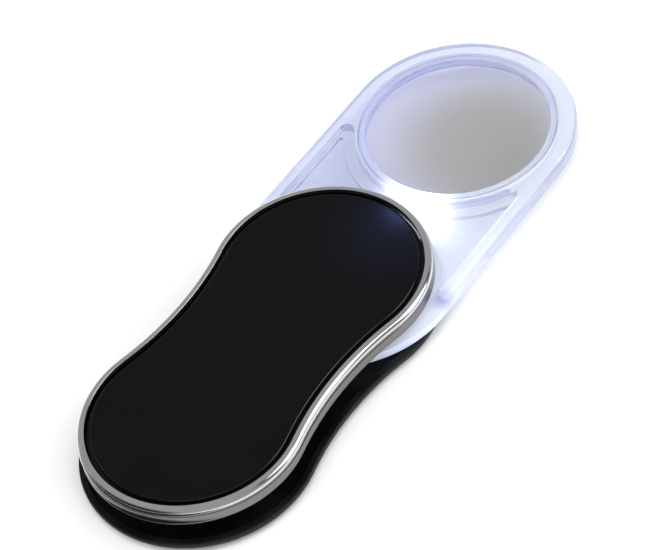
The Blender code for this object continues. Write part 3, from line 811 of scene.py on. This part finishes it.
# %% Lens
def make_lens():
    """Cap height = R - sqrt(R^2 - r^2); R = (rim^2 + sag^2) / (2 sag)."""
    rim = lens_high[0]
    bottom, top = lens_low[2], lens_high[2]
    edge = 0.7
    sag = (top - bottom - edge) / 2
    sphere = (rim**2 + sag**2) / (2 * sag)
    r = rim * np.sin(np.linspace(0.03, np.pi / 2, 40))
    cap = sphere - np.sqrt(sphere**2 - r**2)
    low, high = np.column_stack([r, bottom + cap]), np.column_stack([r, top - cap])[::-1]
    poles = ((0, LENS_Y, bottom), (0, LENS_Y, top))
    mesh = loft("lens", circle(0, LENS_Y, 200), np.vstack([low, high]), poles=poles)
    return stand_for("lens", mesh, sharp=30, weighted=False)


make_lens()

# %% [markdown]
# ## Lens ring
#
# A thin clear ring with eased edges snaps in over the lens and holds it down. Its inner edge has the
# larger round, so that it draws one soft line round the glass.


# %% Lens ring
def make_lens_ring():
    """Ring section: four corners, each eased by its own round; the inner upper one is the largest."""
    inner, outer = 22.4, ring_high[0]
    low, high = ring_low[2], ring_high[2]
    profile = np.vstack(
        [
            fillet(outer - 0.1, low + 0.1, 0.1, -90, 0, 3),
            fillet(outer - 0.25, high - 0.25, 0.25, 0, 90, 6),
            fillet(inner + 0.3, high - 0.3, 0.3, 90, 180, 8),
            [(inner + 0.12, low + 0.1), (inner + 0.25, low)],
        ]
    )
    mesh = loft("lens_ring", circle(0, LENS_Y, 200), profile, ring=True)
    return stand_for("lens_ring", mesh, sharp=50, weighted=False)


make_lens_ring()

# %% [markdown]
# ## Lamp
#
# A small light-emitting diode lies on its side in the hub and shines through a window at the lens.
# Its body is a turned shape: a flange, a straight barrel and a round nose. It is lofted upright and
# then turned so that its axis points along +Y. Two square legs leave its back and bend down through
# the board. The legs are swept as a listed centre line with a constant square round it.


# %% Lamp
def make_lamp():
    """Nose height = barrel + r sin a and nose radius = r cos a, turned from +Z to +Y."""
    low, high = box_mm("led")
    flange_radius = (high[0] - low[0]) / 2
    radius, axis_z = flange_radius - 0.2, high[2] - flange_radius
    wire, spacing, back = 0.4, 0.64, low[1] + 0.8
    length = high[1] - back
    nose = fillet(0, length - radius, radius, 0, 86, 12)
    barrel = [(flange_radius, 0), (flange_radius, 0.8), (radius, 0.82)]
    body = loft("led", circle(0, 0, 48), np.vstack([barrel, nose]))
    body.transform(Matrix.Rotation(math.radians(-90), 4, "X"))
    body.transform(Matrix.Translation(Vector((0, back, axis_z)) * MM))
    legs = []
    for x in (-spacing, spacing):
        corner = [(back + 0.5, axis_z), (low[1] + wire / 2, axis_z), (low[1] + wire / 2, low[2])]
        outer = [(0, wire / 2), (-wire / 2, wire / 2), (-wire / 2, 0)]
        rows = []
        for (y, z), (dy, dz) in zip(corner, outer):
            around = ((-1, -1), (1, -1), (1, 1), (-1, 1))
            rows.append([(x + across * wire / 2, y + up * dy, z + up * dz) for across, up in around])
        legs.append(skin("leg", rows))
    return stand_for("led", carve(body, *[("UNION", leg) for leg in legs]), sharp=40, weighted=False)


make_lamp()

# %% [markdown]
# ## Shader arithmetic
#
# A material is a tree of nodes, and sums in it read better as expressions. A Wire wraps one socket, and
# an operator on it adds a Math node, so 1 - mask works as it would on a number.


# %% Wires
class Wire:
    """A shader value that Python operators work on."""

    def __init__(self, finish, socket):
        self.finish, self.socket = finish, socket

    def math(self, operation, *others):
        """One Math node over the values that follow, in their order."""
        return self.finish.node("ShaderNodeMath", {"operation": operation}, dict(enumerate(others)))

    def __add__(self, other):
        return self.math("ADD", self, other)

    def __sub__(self, other):
        return self.math("SUBTRACT", self, other)

    def __rsub__(self, other):
        return self.math("SUBTRACT", other, self)

    def __mul__(self, other):
        return self.math("MULTIPLY", self, other)

    def __truediv__(self, other):
        return self.math("DIVIDE", self, other)

    def __pow__(self, other):
        return self.math("POWER", self, other)

    __radd__, __rmul__ = __add__, __mul__

    def exp(self):
        """e to the power of this value."""
        return self.math("EXPONENT", self)

    def size(self):
        """This value without its sign."""
        return self.math("ABSOLUTE", self)

    def ramp(self, low, high, to_low=0.0, to_high=1.0):
        """A smooth step from low to high, scaled to run between to_low and to_high."""
        values = {"Value": self, "From Min": low, "From Max": high, "To Min": to_low, "To Max": to_high}
        return self.finish.node("ShaderNodeMapRange", {"interpolation_type": "SMOOTHSTEP"}, values)


print("a Wire knows:", ", ".join(name.strip("_") for name in vars(Wire) if callable(getattr(Wire, name))))

# %% [markdown]
# A Finish wraps one material. Its node method is the only place where nodes are made: it takes the
# node's type, its settings and what goes into its sockets. The other methods name the few patterns
# that the finishes share, such as noise in lumps per metre, or a distance in millimetres. All of them
# read Object coordinates, so a pattern sticks to its piece when the piece moves.


# %% Finishes
class Finish:
    """The nodes of one procedural material, or of the room round the model."""

    def __init__(self, name, family="materials", place="Object"):
        self.block = getattr(bpy.data, family).new(name)
        self.block.use_nodes = True
        self.tree = self.block.node_tree
        self.tree.nodes.clear()
        self.place = self.node("ShaderNodeTexCoord", {}, {}, place)

    def node(self, kind, settings, values, output=0):
        """Makes a node, sets its settings, then fills its sockets with numbers, tuples or Wires."""
        made = self.tree.nodes.new(kind)
        for key, value in settings.items():
            setattr(made, key, value)
        for key, value in values.items():
            if isinstance(value, Wire):
                self.tree.links.new(value.socket, made.inputs[key])
            else:
                made.inputs[key].default_value = value
        return Wire(self, made.outputs[output]) if len(made.outputs) else None

    def noise(self, scale, detail=3.0, stretch=(1, 1, 1), rough=0.5):
        """Fractal noise on Object coordinates; scale is in lumps per metre."""
        at = self.node("ShaderNodeMapping", {}, {"Vector": self.place, "Scale": stretch})
        return self.node(
            "ShaderNodeTexNoise", {}, {"Vector": at, "Scale": scale, "Detail": detail, "Roughness": rough}
        )

    def mix(self, factor, a, b, mode="MIX"):
        """Colour a where factor is 0 and b where it is 1; slots 6 and 7 are the node's colours."""
        settings = {"data_type": "RGBA", "blend_type": mode}
        return self.node("ShaderNodeMix", settings, {0: factor, 6: a, 7: b}, 2)

    def times(self, a, b):
        """Two colours multiplied, channel by channel."""
        return self.mix(1.0, a, b, "MULTIPLY")

    def facing_up(self):
        """1 on faces that look up or down, 0 on upright ones, from the normal's height."""
        normal = self.node("ShaderNodeNewGeometry", {}, {}, "Normal")
        return self.node("ShaderNodeSeparateXYZ", {}, {0: normal}, 2).size()

    def distance(self, point_mm):
        """Distance in millimetres from a point of the model."""
        point = tuple(v * MM for v in point_mm)
        return self.node("ShaderNodeVectorMath", {"operation": "DISTANCE"}, {0: self.place, 1: point}, 1) / MM

    def axis(self, letter):
        """One coordinate of the model, in millimetres."""
        return self.node("ShaderNodeSeparateXYZ", {}, {0: self.place}, "XYZ".index(letter)) / MM

    def bump(self, height, depth):
        """Normal tilted by a height whose full swing is depth millimetres."""
        return self.node("ShaderNodeBump", {}, {"Height": height, "Distance": depth * MM, "Strength": 1.0})

    def principled(self, **sockets):
        """The main shader, its sockets named as keywords with underscores for spaces."""
        values = {key.replace("_", " "): value for key, value in sockets.items()}
        return self.node("ShaderNodeBsdfPrincipled", {}, values)

    def surface(self, shader, kind="ShaderNodeOutputMaterial"):
        """Wires the shader to the output, and returns the finished material or world."""
        self.node(kind, {}, {"Surface": shader})
        print(f"{self.block.name}: {len(self.tree.nodes)} nodes")
        return self.block


def rgb(*values):
    """A colour socket's four numbers from three."""
    return (*values, 1.0)


finishes = {}
print("finishes to make:", sorted(set(SLOT_OF.values())))

# %% [markdown]
# ## Black moulding
#
# The shell and cover are moulded with a satin grain. One roughness all over would look like paint, so
# two noises drive it: a fine one for the grain and a broad one for marks from handling, which also
# lighten the colour a little. The grain feeds a very shallow bump.


# %% Black moulding
def black_moulding(name, grain):
    """Roughness = 0.34 + 0.10 grain + 0.08 wear; the grain is in lumps per metre."""
    f = Finish(name)
    fine, broad = f.noise(grain, 4), f.noise(90, 3)
    worn = broad.ramp(0.42, 0.7)
    color = f.mix(worn, rgb(0.0035, 0.0035, 0.0038), rgb(0.008, 0.008, 0.0085))
    shader = f.principled(
        Base_Color=color,
        Roughness=0.34 + 0.10 * fine + 0.08 * worn,
        Normal=f.bump(fine, 0.006),
        Specular_IOR_Level=0.2,
    )
    return f.surface(shader)


finishes["shell"] = black_moulding("shell_moulding", 2600)
finishes["cover"] = black_moulding("cover_moulding", 3200)

# %% [markdown]
# ## Gloss inlay
#
# The inlay is lacquered: near-black with faint fine scratches in two directions, and a coat that is
# thicker on its bevel, where it draws a line of light. Beside the lamp it is painted with the lamp's
# blue as emission, a painted glow, first in a wide breath and then in a small spot at the edge, both as
# soft bells of distance: exp of minus the distance over a width, squared.


# %% Gloss inlay
def gloss_inlay():
    """Coat = a trace + 0.9 on the bevel; the two bells of painted blue glow are exp(-(d / width)^2)."""
    f = Finish("gloss_inlay")
    broad = f.noise(60, 3)
    along = f.noise(900, 5, (6, 0.3, 1), 0.6)
    across = f.noise(900, 5, (0.3, 6, 1), 0.6)
    scratch = along.ramp(0.66, 0.74) + across.ramp(0.68, 0.76)
    color = f.mix(broad, rgb(0.0016, 0.0016, 0.0017), rgb(0.0026, 0.0026, 0.0028))
    edge = f.facing_up().ramp(0.985, 0.8)
    # painted light: emission paints the lamp's blue glow on the inlay, wide and then as a spot at the edge
    painted_broad_glow = ((f.distance((9.0, 15.0, panel_high[2])) / 12.0) ** 2 * -1).exp()
    painted_near_glow = ((f.distance((8.0, 20.5, panel_high[2])) / 4.5) ** 2 * -1).exp()
    light = f.mix(painted_broad_glow, rgb(0.0004, 0.0004, 0.0005), rgb(0.004, 0.0055, 0.018))
    light = f.mix(painted_near_glow, light, rgb(0.040, 0.056, 0.155))
    shader = f.principled(
        Base_Color=color,
        Roughness=0.09 + 0.05 * broad + 0.05 * scratch,
        Normal=f.bump(f.noise(700, 2), 0.0008),
        Specular_IOR_Level=0.13,
        Coat_Weight=0.03 + 0.03 * broad + 0.9 * edge,
        Coat_Roughness=0.04,
        Emission_Color=light,
        Emission_Strength=1.0,
    )
    return f.surface(shader)


finishes["panel"] = gloss_inlay()

# %% [markdown]
# ## Plating
#
# Bright plating is smooth metal. Its faint smudges and specks show only as changes of roughness, so
# they come and go with the reflections, as finger marks do.


# %% Plating
def plating():
    """Bright plating; its lower roll is painted darker, a painted dark reflection."""
    f = Finish("plating")
    smudge = f.noise(110, 4, rough=0.6).ramp(0.45, 0.72)
    speck = f.noise(2400, 2).ramp(0.68, 0.8)
    # painted reflection: the plating's colour darkens towards the foot roll, standing in for a dark reflection
    # there
    low = f.axis("Z").ramp(float(bezel_high[2]) - 0.85, float(bezel_high[2]) - 1.45)
    bright = f.mix(smudge, rgb(0.74, 0.75, 0.77), rgb(0.69, 0.695, 0.705))
    shader = f.principled(
        Base_Color=f.mix(low, bright, rgb(0.21, 0.204, 0.196)),
        Metallic=1.0,
        Roughness=0.085 + 0.05 * smudge + 0.03 * speck + 0.13 * low,
        Normal=f.bump(f.noise(160, 1), 0.0015),
    )
    return f.surface(shader)


finishes["bezel"] = plating()

# %% [markdown]
# ## Rolled metal
#
# Spring steel, brass and the cells' cans are rolled strip. Their noise is stretched into lines along
# one direction, and a broad stain darkens the metal in places.


# %% Rolled metal
def rolled_metal(name, light, dark, rough, stretch=(0.4, 8, 8)):
    """Colour runs from light to dark by 0.6 stain + 0.3 line; the stretch turns lumps into lines."""
    f = Finish(name)
    line = f.noise(1800, 4, stretch, 0.6)
    stain = f.noise(160, 3).ramp(0.5, 0.75)
    shader = f.principled(
        Base_Color=f.mix(stain * 0.6 + 0.3 * line, light, dark),
        Metallic=1.0,
        Roughness=rough + 0.14 * line,
        Normal=f.bump(line, 0.004),
    )
    return f.surface(shader)


finishes["steel"] = rolled_metal("spring_steel", rgb(0.62, 0.62, 0.60), rgb(0.40, 0.39, 0.37), 0.24)
finishes["brass"] = rolled_metal("rolled_brass", rgb(0.76, 0.55, 0.24), rgb(0.47, 0.31, 0.12), 0.26)
finishes["cell"] = rolled_metal("cell_can", rgb(0.66, 0.66, 0.65), rgb(0.5, 0.5, 0.5), 0.2, (3, 3, 3))


# %% [markdown]
# ## Nylon
#
# The slip ring is natural nylon: off-white, slightly mottled, and lit a little way into its surface.


# %% Nylon
def nylon():
    """Two off-whites mixed by a broad noise, with a fine grain in roughness and bump."""
    f = Finish("natural_nylon")
    broad, fine = f.noise(220, 3), f.noise(3000, 3)
    shader = f.principled(
        Base_Color=f.mix(broad, rgb(0.80, 0.79, 0.75), rgb(0.69, 0.675, 0.63)),
        Roughness=0.42 + 0.16 * fine,
        Normal=f.bump(fine, 0.004),
        Subsurface_Weight=0.15,
        Subsurface_Scale=0.001,
    )
    return f.surface(shader)


finishes["nylon"] = nylon()

# %% [markdown]
# ## Circuit board and resistor
#
# The board has a green solder mask over its tracks, and square Voronoi cells stand for the copper
# left between them. The resistor is a dark block whose plated ends are found from its own box, by
# how far a point lies from its middle.


# %% Circuit board
def circuit_board():
    """Track = a smooth step of the distance to the nearest square cell's centre."""
    f = Finish("circuit_board")
    flat = f.node("ShaderNodeMapping", {}, {"Vector": f.place, "Scale": (900, 900, 900)})
    cells = f.node("ShaderNodeTexVoronoi", {"distance": "CHEBYCHEV"}, {"Vector": flat, "Scale": 0.6})
    track = cells.ramp(0.4, 0.46)
    weave = f.noise(2600, 2)
    mask = f.mix(weave, rgb(0.010, 0.085, 0.035), rgb(0.014, 0.115, 0.05))
    color = f.mix(track, mask, rgb(0.03, 0.19, 0.07))
    shader = f.principled(Base_Color=color, Roughness=0.28 + 0.12 * weave, Normal=f.bump(track, 0.02))
    return f.surface(shader)


finishes["board"] = circuit_board()


# %% Chip resistor
def chip_resistor():
    """Metal where the distance from the middle passes about two thirds of the half length."""
    f = Finish("chip_resistor")
    low, high = box_mm("resistor")
    middle, half = (low[0] + high[0]) / 2, (high[0] - low[0]) / 2
    from_middle = (f.axis("X") - float(middle)).size()
    end = from_middle.ramp(float(half) * 0.62, float(half) * 0.66)
    grain = f.noise(4000, 3)
    body = f.mix(grain, rgb(0.010, 0.010, 0.012), rgb(0.03, 0.03, 0.032))
    shader = f.principled(
        Base_Color=f.mix(end, body, rgb(0.62, 0.62, 0.6)),
        Metallic=end,
        Roughness=0.34 + 0.1 * grain,
        Normal=f.bump(grain, 0.004),
    )
    return f.surface(shader)


finishes["resistor"] = chip_resistor()

# %% [markdown]
# ## Lit acrylic
#
# The frame is clear acrylic lit from inside by the lamp. It bends light as acrylic does, and it also
# glows with painted light: no scatter is computed, and Emission Color paints the lamp's light onto the
# moulding as a function of the distance from the lamp: a narrow peak, a broad halo and an even part.
#
# The tint depends on which way the surface faces: upright walls are painted darker and more lavender
# than flat tops, a painted shade, and the frame is painted a little darker towards its left side. The
# ends of the two ribs carry a painted reflection of the dark handle and are tinted most. A second,
# milky shader is mixed in, more of it over the heel, which lies on black and would otherwise be black itself.


# %% Lit acrylic
def lit_acrylic():
    """Painted glow = even part, halo exp(-0.045 d) and peak exp(-(d / 6.2)^2); tint = side or top, times painted
    shade.
    """
    f = Finish("lit_acrylic")
    painted_glare_point, painted_halo_middle = (4.0, 26.0, 6.5), (20.0, 4.0, 6.0)
    # painted light: emission paints the lamp's glow on the frame, a peak at the glare point, a halo and an even
    # part
    painted_glow_peak = ((f.distance(painted_glare_point) / 6.2) ** 2 * -1).exp()
    painted_glow_halo = (f.distance(painted_halo_middle) * -0.045).exp()
    light = f.mix(painted_glow_halo, rgb(0.022, 0.023, 0.034), rgb(0.21, 0.22, 0.24))
    light = f.mix(painted_glow_peak, light, rgb(1.8, 1.85, 2.1))
    cloud, fine = f.noise(70, 3), f.noise(900, 3)
    # painted shade: upright faces take the darker side colours, flat faces the lighter top ones
    flat = f.facing_up().ramp(0.55, 0.97)
    # painted shade: the tint darkens towards the frame's left side
    shade = f.mix(f.axis("X").ramp(20, -24), rgb(1.0, 1.0, 1.0), rgb(0.90, 0.905, 0.985))
    rib_x = (RIB_INNER + FRAME_RADIUS) / 2
    # painted reflection: the rib ends are darkened as if mirroring the dark handle
    ends = [f.distance((side * rib_x, RIB_END_Y + 0.6, FRAME_TOP - 1.0)).ramp(4.2, 0.4) for side in (-1, 1)]
    shade = f.mix((ends[0] + ends[1]) * 0.8, shade, rgb(0.42, 0.41, 0.76))
    normal = f.bump(f.noise(200, 2), 0.012)

    def tint(side, top):
        """Each pair of colours is mixed by the cloud; upright faces take the side's painted shade, flat ones the
        top's.
        """
        return f.times(f.mix(flat, f.mix(cloud, *side), f.mix(cloud, *top)), shade)

    clear = f.principled(
        Base_Color=tint(
            side=(rgb(0.75, 0.77, 0.88), rgb(0.85, 0.87, 0.95)),
            top=(rgb(0.91, 0.94, 0.98), rgb(0.96, 0.985, 1.0)),
        ),
        Roughness=0.04 + 0.08 * cloud + 0.03 * fine,
        Normal=normal,
        IOR=1.49,
        Transmission_Weight=1.0,
        Emission_Color=light,
        Emission_Strength=1.0,
    )
    milky = f.principled(
        Base_Color=tint(
            side=(rgb(0.53, 0.56, 0.75), rgb(0.66, 0.69, 0.84)),
            top=(rgb(0.67, 0.715, 0.87), rgb(0.76, 0.80, 0.92)),
        ),
        Roughness=0.30 + 0.1 * fine,
        Normal=normal,
        Emission_Color=light,
        Emission_Strength=1.0,
    )
    heel = f.axis("Y").ramp(float(FRONT_LOBE_Y) + 30, float(FRONT_LOBE_Y) + 8)
    return f.surface(f.node("ShaderNodeMixShader", {}, {0: 0.28 + 0.42 * heel, 1: clear, 2: milky}))


finishes["clear_frame"] = lit_acrylic()

# %% [markdown]
# ## Lens glass
#
# The lens is clear too, but it is looked straight through, so it has no milk in it. A plain glass over
# a white floor would vanish. Its middle is tinted grey, a painted shade of what lies under it, and its
# rim lavender with a faint emission, painted light from the frame; both follow the distance from a point near its
# middle.


# %% Lens glass
def lens_glass():
    """Painted rim light = a smooth step of the distance from the middle, in lens radii; the middle is painted
    shade.
    """
    f = Finish("lens_glass")
    across = f.distance((8.0, LENS_Y - 0.5, float(lens_high[2]))) / float(lens_high[0])
    rim = across.ramp(0.35, 1.42)
    cloud = f.noise(35, 2)
    # painted shade: the grey middle stands in for the shade under the lens
    centre = f.mix(cloud, rgb(0.715, 0.708, 0.688), rgb(0.74, 0.735, 0.72))
    smudge = f.noise(120, 4).ramp(0.5, 0.8)
    shader = f.principled(
        Base_Color=f.mix(rim, centre, rgb(0.92, 0.925, 0.985)),
        Roughness=0.01 + 0.03 * smudge,
        Normal=f.bump(f.noise(90, 1), 0.002),
        IOR=1.49,
        Transmission_Weight=1.0,
        # painted light: lavender emission towards the rim stands in for light entering from the frame
        Emission_Color=f.mix(rim, rgb(0.006, 0.006, 0.007), rgb(0.035, 0.035, 0.080)),
        Emission_Strength=1.0,
    )
    return f.surface(shader)


finishes["lens"] = lens_glass()

# %% [markdown]
# ## Lamp resin
#
# The lamp is a water-clear resin body with a white chip near its back. It is bright enough to hide
# its own inside, so the body simply glows, more towards its nose.


# %% Lamp resin
def lamp_resin():
    """Glow rises along Y, from the back of the body to its nose."""
    f = Finish("lamp_resin")
    low, high = box_mm("led")
    along = f.axis("Y").ramp(float(low[1]), float(high[1]))
    haze = f.noise(1500, 2)
    shader = f.principled(
        Base_Color=f.mix(haze, rgb(0.86, 0.86, 0.95), rgb(0.93, 0.93, 0.99)),
        Roughness=0.10 + 0.1 * haze,
        IOR=1.5,
        Transmission_Weight=0.6,
        Emission_Color=f.mix(along, rgb(0.5, 0.55, 0.9), rgb(6.0, 6.4, 8.0)),
        Emission_Strength=1.0,
    )
    return f.surface(shader)


finishes["lamp"] = lamp_resin()

# %% [markdown]
# ## Assigning the finishes
#
# Every piece takes the finish of its material slot in the record, whether it is a new skin or a CAD
# node that stays.


# %% Assign
for node, material_slot in SLOT_OF.items():
    shown = pieces.get(node) or frame["nodes"][node]
    shown.data.materials.clear()
    shown.data.materials.append(finishes[material_slot])
print("finishes:", sorted(finishes))

# %% [markdown]
# ## Floor
#
# The floor is a pale plain sheet with a little cloud in it, just below the part so that the two don't
# share a face.


# %% Floor
def make_floor():
    """A thin slab whose top lies 0.02 mm below the part."""
    f = Finish("floor_sheet")
    cloud, grain = f.noise(3, 2), f.noise(400, 3)
    shader = f.principled(
        Base_Color=f.mix(cloud, rgb(0.90, 0.90, 0.90), rgb(0.92, 0.92, 0.92)),
        Roughness=0.8 + 0.1 * grain,
        Specular_IOR_Level=0.1,
    )
    sheet = plate("floor", box_plan(-3000, 3000, -3000, 3000), -6.0, -0.02)
    floor = link("floor", sheet)
    floor.data.materials.append(f.surface(shader))


make_floor()

# %% [markdown]
# ## Lights
#
# A large box overhead and four low boxes all round give the floor its even white. Gloss would mirror
# all of them as hard shapes, so only the key box may be mirrored: it draws the bright line along the
# plating. The others light matt surfaces only.


# %% Lights
MIDDLE = Vector(((bezel_low[0] + frame_high[0]) / 2, (bezel_low[1] + frame_high[1]) / 2, 6.0)) * MM


def toward(azimuth, elevation):
    """Unit vector; azimuth is from +X towards +Y and elevation is from the floor up, in degrees."""
    a, e = math.radians(azimuth), math.radians(elevation)
    return Vector((math.cos(e) * math.cos(a), math.cos(e) * math.sin(a), math.sin(e)))


def soft_box(name, azimuth, elevation, distance, wide, deep, power, mirrored=False):
    """An area light that faces the model's middle, and that gloss mirrors only if mirrored is set."""
    way = toward(azimuth, elevation)
    data = bpy.data.lights.new(name, "AREA")
    data.shape, data.size, data.size_y, data.energy = "RECTANGLE", wide, deep, power
    light = bpy.data.objects.new(name, data)
    light.location = MIDDLE + way * distance
    light.rotation_euler = way.to_track_quat("Z", "Y").to_euler()
    light.visible_camera = False
    light.visible_glossy = mirrored
    bpy.context.scene.collection.objects.link(light)


KEY = (42, 40)
soft_box("key", *KEY, 1.5, 0.8, 1.2, 6.0, mirrored=True)
soft_box("overhead", -45, 86, 1.5, 1.3, 1.0, 11)
for azimuth in (-20, -100, 205, 65):
    soft_box(f"fill_{azimuth % 360}", azimuth, 20, 1.6, 1.2, 0.5, 10)

# %% [markdown]
# ## Flag
#
# A studio keeps plating from going all white with a black card beside it. This one lies on the floor
# by the near end, and only reflections see it, so it casts no shadow and the floor stays pale.


# %% Flag
def make_flag():
    """A thin plate from just before the handle's near end outwards."""
    f = Finish("flag_card")
    grain = f.noise(300, 2)
    color = f.mix(grain, rgb(0.010, 0.010, 0.016), rgb(0.03, 0.028, 0.034))
    paint = f.principled(Base_Color=color, Roughness=0.9)
    card = link("flag", plate("flag", box_plan(-260, 46, -420, float(shell_low[1]) - 3), 0.2, 0.6))
    card.data.materials.append(f.surface(paint))
    card.visible_camera = card.visible_diffuse = card.visible_shadow = card.visible_transmission = False


make_flag()

# %% [markdown]
# ## Room
#
# Whatever gloss mirrors besides the lights is the room: a grey dome, a little brighter low down, with
# a dark ring round the key box and a dark patch low at the near end, as a studio's far corner has.
# Each patch is a function of the angle between a direction and the patch's own.


# %% Room
def make_room():
    """Angle = arc cosine of the dot product; ring = exp(-((angle - 25) / 5)^2)."""
    f = Finish("room", "worlds", "Generated")

    def angle(azimuth, elevation):
        """Degrees between the direction looked in and a given one."""
        aim = tuple(toward(azimuth, elevation))
        dot = f.node("ShaderNodeVectorMath", {"operation": "DOT_PRODUCT"}, {0: f.place, 1: aim}, 1)
        return f.node("ShaderNodeMath", {"operation": "ARCCOSINE"}, {0: dot}) * math.degrees(1)

    height = f.node("ShaderNodeSeparateXYZ", {}, {0: f.place}, 2)
    dome = 0.38 + 0.10 * height.ramp(0.45, 0.0)
    flag = (((angle(*KEY) - 25) / 5) ** 2 * -1).exp() * 0.8
    near_end = angle(-112, 8).ramp(48, 26) * 0.9
    light = dome * (1 - flag) * (1 - near_end)
    grey = f.node("ShaderNodeCombineXYZ", {}, {0: light, 1: light, 2: light})
    sky = f.node("ShaderNodeBackground", {}, {"Color": f.times(rgb(0.97, 0.985, 1.0), grey), "Strength": 1.0})
    bpy.context.scene.world = f.surface(sky, "ShaderNodeOutputWorld")


make_room()

# %% [markdown]
# ## Camera
#
# A long lens at some 0.7 m looks down at the open magnifier from its near right corner. The camera's
# axes are given rather than angles, and made square to each other by cross products.


# %% Camera
def make_camera():
    """Columns of the camera's matrix are its right, up and backward directions and its place."""
    right = Vector((0.8081, 0.5684, -0.1548))
    back = Vector((0.4778, -0.4788, 0.7366)).normalized()
    up = back.cross(right).normalized()
    right = up.cross(back)
    turn = Matrix((right, up, back)).transposed().to_4x4()
    data = bpy.data.cameras.new("camera")
    data.lens, data.sensor_width = 166.0, 36.0
    data.clip_start, data.clip_end = 0.01, 20
    camera = bpy.data.objects.new("camera", data)
    camera.matrix_world = Matrix.Translation(Vector((0.33851, -0.34024, 0.52923))) @ turn
    bpy.context.scene.collection.objects.link(camera)
    bpy.context.scene.camera = camera


make_camera()
bpy.context.scene.view_settings.view_transform = "Standard"
bpy.context.scene.view_settings.look = "None"
print("camera at", [round(value, 3) for value in bpy.context.scene.camera.location])
